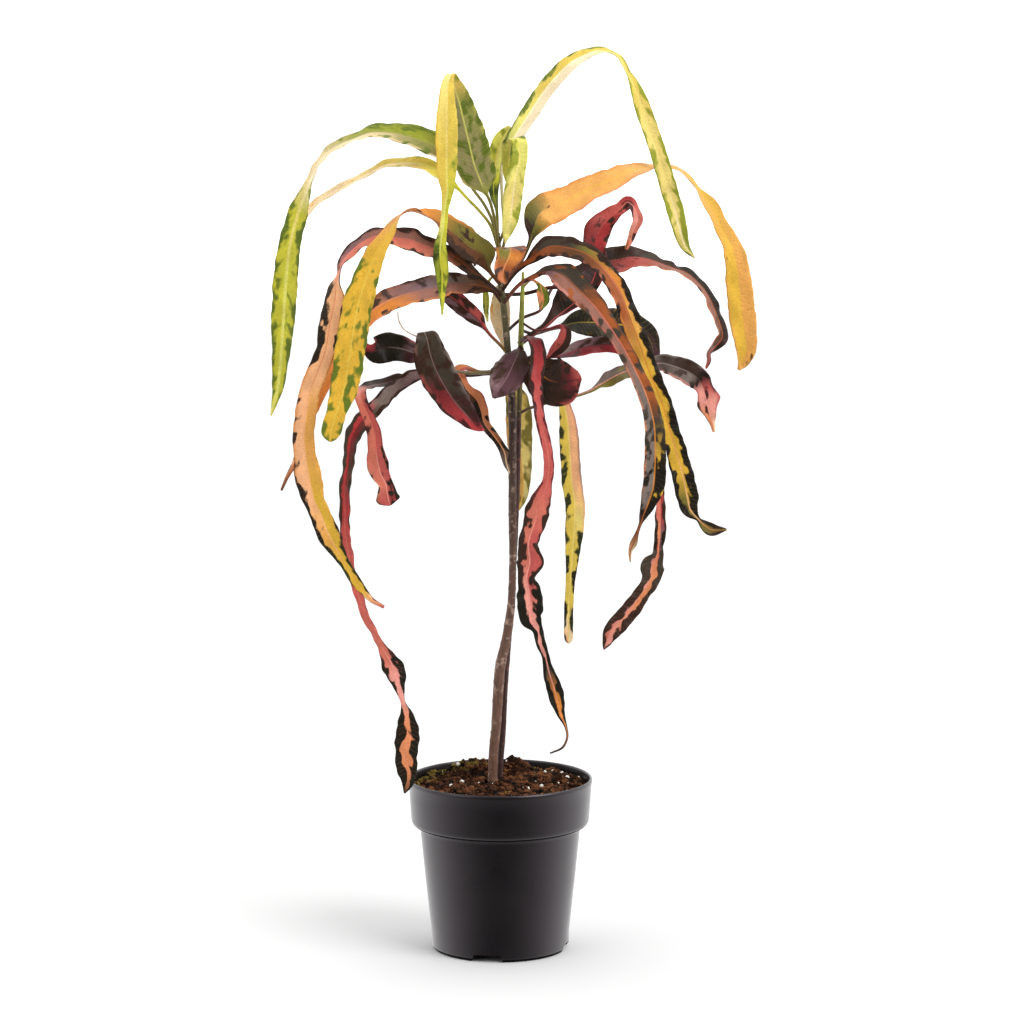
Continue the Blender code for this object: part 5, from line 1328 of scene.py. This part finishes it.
# ------------------------------------------------------------------ right side leaves
# The two long straps in front, and behind them the crimson, maroon and dark-veined leaves that
# spread to the right at several heights.
grow_leaf(
    "leaf_big_strap_right", "leaf_gold", fold=0.12, wave=1.2, pitch=23, seed=23, rim=0.8, edge=0.08,
    veins=0.06,
    route=[
        (1, 0, 429, 2.5), (10, -10, 442, 3), (19, -15, 450, 6.5), (26, -18, 456, 12.5),
        (33, -21, 459, 14.5), (44, -26, 458, 14), (54, -31, 455, 14), (63, -36, 448, 12.5),
        (70, -40, 440, 12), (76, -43, 430, 12), (81, -46, 417, 12.5), (88, -49, 398, 12.5),
        (94, -51, 381, 12.5), (101, -52, 364, 12.5), (106, -53, 348, 12.5), (111, -53, 331, 13),
        (115, -53, 317, 14), (118, -53, 303, 14), (120, -52, 295, 10.5), (125, -52, 289, 3),
        (129, -51, 285, 6.5), (134, -50, 282, 8), (143, -49, 282, 1.5),
    ],
    faces={0: (0, 50), 4: (0, 25), 7: (15, 20), 10: (12, 5), 22: (0, 0)},
    paint=[
        (0, "umber", "umber", 0, 0),
        (2, "umber rust rust rust brown", "umber", 0.6, 0.5),
        (3, "coral rust rust coal coal", "umber", 0.3, 0.5),
        (5, "coral brown rust coal ash", "umber", 0.3, 0.4),
        (6, "coral brown rust olive coal", "umber", 0.2, 0.4),
        (8, "coral rust coral orange olive", "black", 0.03, 0.55),
        (10, "orange rust rust amber olive", "black", 0.03, 0.62),
        (12, "orange gold orange gold gold", "black", 0, 0.62),
        (14, "gold gold orange gold gold", "black", 0, 0.7),
        (16, "gold gold apricot gold gold", "black", 0.3, 0.84),
        (17, "olive olive apricot gold gold", "black", 0.7, 0.9),
        (19, "coal olive apricot olive coal", "black", 0.85, 0.92),
        (20, "umber olive salmon olive brown", "black", 0.6, 0.6),
        (22, "brown olive brown", "umber", 0.4, 0.4),
    ],
)
grow_leaf(
    "leaf_pink_strap_right", "leaf_salmon", fold=0.10, wave=0.9, pitch=25, seed=24, rim=0.15, veins=0.04,
    route=[
        (2, 0, 421, 2.5), (12, -13, 434, 2.5), (22, -20, 440, 4), (31, -26, 444, 7.5), (39, -32, 442, 17.5),
        (49, -39, 433, 17.5), (60, -45, 422, 14), (69, -51, 410, 10.5), (77, -56, 398, 10),
        (85, -60, 383, 10), (92, -63, 367, 10.5), (96, -65, 352, 12), (97, -66, 340, 13),
        (97, -66, 326, 14), (96, -66, 311, 14), (93, -65, 301, 10), (90, -64, 293, 5.5), (88, -63, 287, 2),
        (86, -62, 281, 2.5), (84, -62, 275, 4.5), (82, -61, 270, 2.5), (82, -60, 263, 1),
    ],
    faces={0: (0, 50), 4: (10, 20), 7: (10, 5), 21: (0, 0)},
    paint=[
        (0, "umber", "umber", 0, 0),
        (2, "rose rust rust mauve plum", "umber", 0.3, 0.4),
        (3, "pink mauve umber coal coal", "umber", 0.2, 0.2),
        (4, "pink clay brown coal coal", "rust", 0.1, 0.15),
        (5, "pink clay rust coal coal", "rust", 0.15, 0.15),
        (6, "coral clay coral rust coal", "coal", 0.3, 0.25),
        (8, "coral clay coral rust brown", "coal", 0.4, 0.35),
        (10, "salmon ash salmon rust rust", "coal", 0.35, 0.45),
        (11, "salmon ash orange coal olive", "coal", 0.4, 0.5),
        (13, "salmon ash orange gold gold", "black", 0.25, 0.9),
        (15, "coal ash orange gold gold", "black", 0.35, 0.95),
        (16, "umber umber rust umber umber", "black", 0.5, 0.6),
        (18, "brown rust brown", "umber", 0.3, 0.3),
        (21, "apricot brown peach", "umber", 0.2, 0.2),
    ],
)
grow_leaf(
    "leaf_crimson_upright", "leaf_crimson", fold=0.15, wave=1.2, pitch=21, seed=25, rim=0.0, veins=0.04,
    route=[
        (13.2, 4.4, 394, 2.5), (20, 8, 399, 2.5), (29, 12, 405, 2.5), (37, 16, 412, 5), (45, 20, 418, 11.5),
        (54, 25, 425, 14.5), (60, 30, 434, 14.5), (63, 34, 445, 13), (62, 37, 456, 14.5),
        (64.5, 39, 466, 17), (71, 41, 474, 13), (79, 43, 481, 8.5), (83, 44, 484.5, 8.5),
        (87, 44, 481, 7.5), (89.5, 44, 473, 7), (87, 43, 467, 6), (85, 42, 461, 5), (82, 41, 454, 2),
    ],
    faces={0: (0, 30), 4: (0, 30), 8: (0, 0), 11: (0, 30), 13: (30, 10), 17: (20, 0)},
    sides={
        3: (0.5, 2.6), 4: (0.55, 2.3), 5: (0.6, 2), 6: (0.8, 1.5), 7: (1, 1.1), 9: (0.9, 1.15),
        10: (0.8, 1.1), 12: (1.2, 0.9), 13: (1, 1),
    },
    paint=[
        (0, "umber", "umber", 0, 0),
        (3, "rose maroon rose umber maroon", "umber", 0.3, 0.5),
        (4, "crimson maroon rose umber umber", "black", 0.3, 0.6),
        (7, "wine umber crimson maroon maroon", "black", 0.5, 0.6),
        (8, "rose crimson crimson wine maroon", "umber", 0.2, 0.3),
        (10, "maroon crimson rose rose crimson", "umber", 0.5, 0.2),
        (11, "crimson rose coral rose coral", "umber", 0.25, 0.2),
        (12, "wine crimson coral crimson crimson", "maroon", 0.3, 0.3),
        (14, "coral pink pink coral rose", "maroon", 0.1, 0.3),
        (17, "salmon rust salmon coral rose", "maroon", 0.15, 0.3),
    ],
)
grow_leaf(
    "leaf_maroon_arch_right", "leaf_maroon", fold=0.12, wave=1.2, pitch=24, seed=26, rim=0.1, veins=0.06,
    route=[
        (4, 0, 403, 2), (14, 10, 411, 2), (26, 16, 416, 2), (30, 21, 423, 2), (34, 26, 430, 2),
        (42, 33, 437, 3.5), (55, 44, 441, 9), (65, 50, 444, 15.5), (75, 53, 446, 19), (87, 55, 448, 15),
        (99, 57, 446, 12), (107, 59, 443, 10.5), (115, 61, 440, 10), (123, 64, 437, 9.5),
        (130, 66, 431, 9.5), (136, 68, 424, 9.5), (141, 69, 414, 9.5), (145, 70, 404, 8.5),
        (147, 70, 395, 8.5), (143, 69, 389, 6), (138, 68, 384, 3), (138, 67, 379, 3), (136, 66, 374, 1.5),
    ],
    faces={0: (0, 30), 7: (0, 20), 9: (0, 25), 11: (0, 60), 14: (35, 40), 17: (40, 15), 22: (0, 0)},
    paint=[
        (0, "umber", "umber", 0, 0),
        (5, "rose umber wine umber maroon", "umber", 0.4, 0.5),
        (7, "rose maroon wine umber umber", "black", 0.5, 0.6),
        (9, "coral rose rose coal coal", "umber", 0.15, 0.5),
        (11, "salmon clay rose coal plum", "umber", 0.1, 0.5),
        (13, "salmon clay rust umber umber", "black", 0.12, 0.6),
        (16, "salmon clay rust umber umber", "black", 0.18, 0.7),
        (18, "salmon brown rust umber umber", "black", 0.4, 0.8),
        (20, "rose ash rose mauve mauve", "umber", 0.3, 0.4),
        (22, "apricot rose rose plum plum", "umber", 0.3, 0.4),
    ],
)
grow_leaf(
    "leaf_pale_right", "leaf_salmon", fold=0.12, wave=1.2, pitch=15, seed=27, rim=0.0, veins=0.04,
    route=[
        (12.2, 6, 350, 2), (19, 10, 353, 2), (34, 15, 357, 2), (49, 20, 360, 2), (59, 25, 363, 2.5),
        (64, 28, 366, 4.5), (71, 31, 370, 10.5), (80, 35, 374, 10), (88, 39, 376, 10), (97, 43, 378, 10.5),
        (106, 47, 379, 12), (116, 51, 376, 14.5), (125, 54, 372, 16), (131, 56, 367, 14),
        (134, 57, 360, 13), (136, 58, 353, 12.5), (138, 58, 346, 8), (140, 57, 338, 3.5), (141, 56, 333, 2),
    ],
    faces={0: (0, 50), 6: (0, 20), 8: (0, 35), 11: (0, 20), 14: (20, 0), 18: (0, 0)},
    sides={9: (1, 1), 13: (1.1, 1), 14: (0.7, 1.1), 15: (1.1, 1.55), 16: (1.3, 1.3), 17: (1, 1)},
    paint=[
        (0, "umber", "umber", 0, 0),
        (5, "moss olive pink ash ash", "plum", 0.1, 0.1),
        (6, "olive olive pink ash mauve", "moss", 0.1, 0.1),
        (9, "olive ash pink ash mauve", "plum", 0.15, 0.2),
        (10, "pink umber ash umber ash", "umber", 0.4, 0.5),
        (12, "pink ash ash umber ash", "umber", 0.4, 0.6),
        (13, "rose umber maroon maroon maroon", "black", 0.6, 0.6),
        (14, "rose pink pink rose maroon", "maroon", 0.1, 0.4),
        (15, "umber pink pink pink crimson", "maroon", 0.35, 0.08),
        (16, "umber salmon pink pink rose", "maroon", 0.45, 0.06),
        (18, "salmon salmon peach", "brown", 0.3, 0.3),
    ],
)
grow_leaf(
    "leaf_dark_veined_right", "leaf_maroon", fold=0.10, wave=0.9, pitch=27, seed=28, veins=0.22, rim=0.0,
    route=[
        (13.6, 4, 404, 2), (22, 13, 401, 2), (31, 18, 403, 2), (40, 24, 405, 4), (49, 28, 407, 14.5),
        (59, 32, 407, 19.5), (68, 36, 406, 20.5), (78, 40, 405, 19.5), (88, 44, 402, 18.5),
        (95, 47, 398, 16.5), (99, 49, 392, 12.5), (101, 50, 384, 8), (103, 50, 378, 2),
    ],
    faces={0: (0, 50), 4: (0, 10), 9: (20, 10), 12: (20, 0)},
    paint=[
        (0, "umber", "umber", 0, 0),
        (3, "umber olive umber", "black", 0.3, 0.3),
        (4, "umber forest olive forest umber", "black", 0.5, 0.6),
        (7, "rust umber gold umber umber", "black", 0.55, 0.6),
        (9, "plum umber olive umber plum", "black", 0.6, 0.6),
        (11, "plum plum plum plum mauve", "umber", 0.5, 0.4),
        (12, "plum", "maroon", 0.2, 0.2),
    ],
)
grow_leaf(
    "leaf_grey_crimson_right", "leaf_maroon", fold=0.15, wave=0.6, pitch=23, seed=29, rim=0.0, veins=0.04,
    route=[
        (13.1, 4.7, 386, 2), (23, 12, 385, 2), (33, 16, 386, 2.5), (42, 19, 388, 6.5), (52, 22, 391, 10.5),
        (62, 24, 393, 10.5), (72, 26, 393, 10.5), (81, 28, 390, 10), (88, 30, 385, 8), (92, 31, 379, 2),
    ],
    faces={0: (0, 50), 3: (0, 10), 9: (0, 0)},
    paint=[
        (0, "umber", "umber", 0, 0),
        (3, "wine mauve ash", "plum", 0.2, 0.2),
        (4, "crimson wine plum mauve mauve", "umber", 0.2, 0.3),
        (8, "crimson crimson maroon plum plum", "umber", 0.2, 0.4),
        (9, "wine plum wine", "maroon", 0.1, 0.1),
    ],
)
grow_leaf(
    "leaf_low_right", "leaf_crimson", fold=0.15, wave=1.4, pitch=18, seed=27, rim=0.7,
    route=[
        (1.2, 0, 427, 2.5), (16, 12, 427, 2.5), (35, 12, 431, 2.5), (52, 13, 427, 5), (65, 16, 414, 6),
        (76, 19, 397, 6.5), (86, 22, 377, 6.5), (96, 26, 356, 6.5), (101, 30, 336, 6.5),
        (104, 33, 316, 6.5), (104, 35, 299, 6.5), (105, 36, 289, 6.5), (105, 37, 279, 7), (105, 37, 268, 8),
        (104, 36, 259, 6.5), (103, 35, 253, 8.5), (100, 34, 247, 16), (99, 33, 238, 12.5),
        (94, 32, 230, 10.5), (89, 31, 223, 12), (83, 30, 215, 12.5), (74, 29, 205, 12), (70, 28, 197, 6.5),
        (68, 28, 192, 1),
    ],
    faces={0: (0, 50), 4: (20, 10), 23: (0, 0)},
    paint=[
        (0, "umber", "umber", 0, 0),
        (3, "maroon umber wine umber maroon", "umber", 0.3, 0.3),
        (7, "wine umber wine umber maroon", "umber", 0.4, 0.4),
        (10, "rose coral coral crimson maroon", "umber", 0, 0.35),
        (12, "rose coral coral crimson maroon", "umber", 0.06, 0.45),
        (13, "rose salmon salmon mauve plum", "black", 0.3, 0.7),
        (14, "mauve rose salmon plum plum", "black", 0.5, 0.8),
        (15, "coal coral salmon coral umber", "coal", 0.85, 0.7),
        (16, "coal pink salmon salmon coal", "coal", 0.95, 0.8),
        (19, "wine pink salmon salmon rose", "umber", 1.02, 0.62),
        (22, "wine coral pink pink rose", "umber", 1, 0.5),
        (23, "umber wine umber", "black", 0.5, 0.5),
    ],
)
grow_leaf(
    "leaf_small_peach_right", "leaf_gold", fold=0.1, wave=0.3, pitch=12, seed=31,
    route=[
        (14.5, 4, 431, 1.5), (20, 7, 436, 1.5), (25, 8, 433, 3), (27, 8, 428, 8), (28, 8, 423, 8),
        (26, 7, 417, 2),
    ],
    faces={0: (0, 60), 2: (0, 70), 3: (10, 10), 5: (0, 0)},
    paint=[
        (0, "olive", "green", 0, 0),
        (2, "salmon", "green", 0.1, 0.1),
        (3, "apricot salmon salmon green forest", "green", 0.2, 0.4),
        (5, "salmon salmon salmon green forest", "green", 0.2, 0.3),
    ],
)

# ------------------------------------------------------------------ leaves behind the stems
# Three leaves at the back, past the stems: a hanging yellow one, a mottled olive one that turns its
# underside to the front, and a short pale one near the crown.
grow_leaf(
    "leaf_yellow_right_back", "leaf_gold", fold=0.12, wave=0.8, pitch=26, seed=23, rim=0.45,
    route=[
        (13, 4.9, 381, 2), (19, 16, 380, 2), (30, 22, 375, 2), (37, 27, 367, 3.5), (41, 30, 356, 7),
        (44, 33, 342, 11), (45, 35, 329, 13), (46, 36, 314, 13), (47, 36, 301, 13), (49, 36, 288, 13),
        (49, 36, 277, 12.5), (48, 36, 262, 11), (47, 35, 248, 8), (46, 35, 235, 6), (45, 34, 219, 6),
        (45, 34, 208, 6), (45, 34, 199, 6), (45, 34, 195, 3.5),
    ],
    faces={0: (0, 70), 3: (20, 10), 6: (5, 0), 17: (0, 0)},
    paint=[
        (0, "olive", "green", 0, 0),
        (4, "straw straw butter apricot coral", "forest", 0, 0),
        (6, "straw straw butter apricot mauve", "forest", 0.25, 0),
        (8, "straw straw butter apricot mauve", "forest", 0.3, 0),
        (10, "straw straw butter butter apricot", "forest", 0.32, 0),
        (11, "straw straw butter straw straw", "forest", 0.15, 0.5),
        (13, "straw straw butter straw straw", "black", 0.1, 0.45),
        (14, "straw straw butter straw straw", "black", 0.5, 0.2),
        (15, "straw peach straw peach apricot", "forest", 0.5, 0.5),
        (17, "salmon peach peach", "umber", 0.1, 0.1),
    ],
)
grow_leaf(
    "leaf_olive_behind_stem", "leaf_lime", fold=0.1, wave=0.9, pitch=21, seed=33, rim=0.2,
    route=[
        (7.2, 0, 365, 2), (7, 10, 369, 3), (10, 17, 361, 13), (12, 20, 349, 16.5), (12.5, 22, 337, 17),
        (13, 23, 324, 15.5), (14, 24, 312, 13), (15, 24, 301, 9), (14, 24, 292, 6), (12, 24, 285, 1.5),
    ],
    faces={0: (180, 70), 2: (180, 5), 9: (180, 0)},
    paint=[
        (0, "olive", "green", 0, 0),
        (2, "olive straw gold gold amber", "olive", 0.45, 0.3),
        (6, "moss butter amber gold amber", "olive", 0.5, 0.25),
        (9, "olive moss gold amber amber", "olive", 0.4, 0.3),
    ],
)
grow_leaf(
    "leaf_peach_behind_stem", "leaf_gold", fold=0.1, wave=0.4, pitch=18, seed=34,
    route=[
        (0.8, 0, 431, 2), (-1, 10, 431, 4), (0, 16, 422, 11.5), (0, 19, 414, 13), (1, 21, 405, 11),
        (3, 22, 396, 6.5), (3, 22, 388, 1.5),
    ],
    faces={0: (180, 60), 2: (180, 10), 6: (180, 0)},
    paint=[
        (0, "olive", "green", 0, 0),
        (2, "peach peach cream peach peach", "amber", 0.15, 0.15),
        (6, "peach", "amber", 0.1, 0.1),
    ],
)

# ------------------------------------------------------------------ studio
# A plain pale floor, and soft light: a broad sun from the right, a weaker softbox on the left, and
# a glow all round that is brighter from behind the plant.
sweep = bmesh.new()
bmesh.ops.create_grid(sweep, x_segments=1, y_segments=1, size=6.0)
floor = finished_mesh("floor", sweep)
paper = Finish("white_floor")
paper.surface((0.64, 0.64, 0.64, 1), 0.9, 0.1)
floor.data.materials.append(paper.material)
floor.visible_glossy = False

world = bpy.data.worlds.new("studio")
bpy.context.scene.world = world
world.use_nodes = True
air = world.node_tree
towards = node(air, "ShaderNodeSeparateXYZ", {0: node(air, "ShaderNodeTexCoord").outputs["Generated"]})
glow = node(air, "ShaderNodeMapRange", {
    "Value": towards.outputs["Y"], "From Min": -1.0, "From Max": 0.15, "To Min": 0.05, "To Max": 1.65,
})
feed(air, air.nodes["Background"], {"Color": (1.0, 1.0, 1.0, 1), "Strength": glow.outputs["Result"]})
bpy.context.scene.view_settings.view_transform = "Standard"


def studio_light(name, kind, place, aim, power, **settings):
    """A lamp at a place, turned to what it lights, which the camera doesn't see."""
    lamp = bpy.data.lights.new(name, kind)
    lamp.energy = power
    for key, value in settings.items():
        setattr(lamp, key, value)
    holder = placed(name, lamp)
    holder.location = place
    holder.rotation_euler = (Vector(aim) - Vector(place)).to_track_quat("-Z", "Y").to_euler()
    holder.visible_camera = False


studio_light("key_light", "SUN", (0.62, -0.48, 0.62), (0, 0, 0), 2.2, angle=math.radians(38))
studio_light("left_softbox", "AREA", (-1.5, -1.1, 0.9), (0, 0, 0.3), 8.0,
             shape="RECTANGLE", size=1.2, size_y=1.2)

lens = bpy.data.cameras.new("camera")
lens.sensor_width = 36.0
lens.lens = 118.1
camera = placed("camera", lens)
camera.location = (0.0077, -2.15, 0.565)
camera.rotation_euler = (math.radians(90 - 7.373), 0, 0)
bpy.context.scene.camera = camera
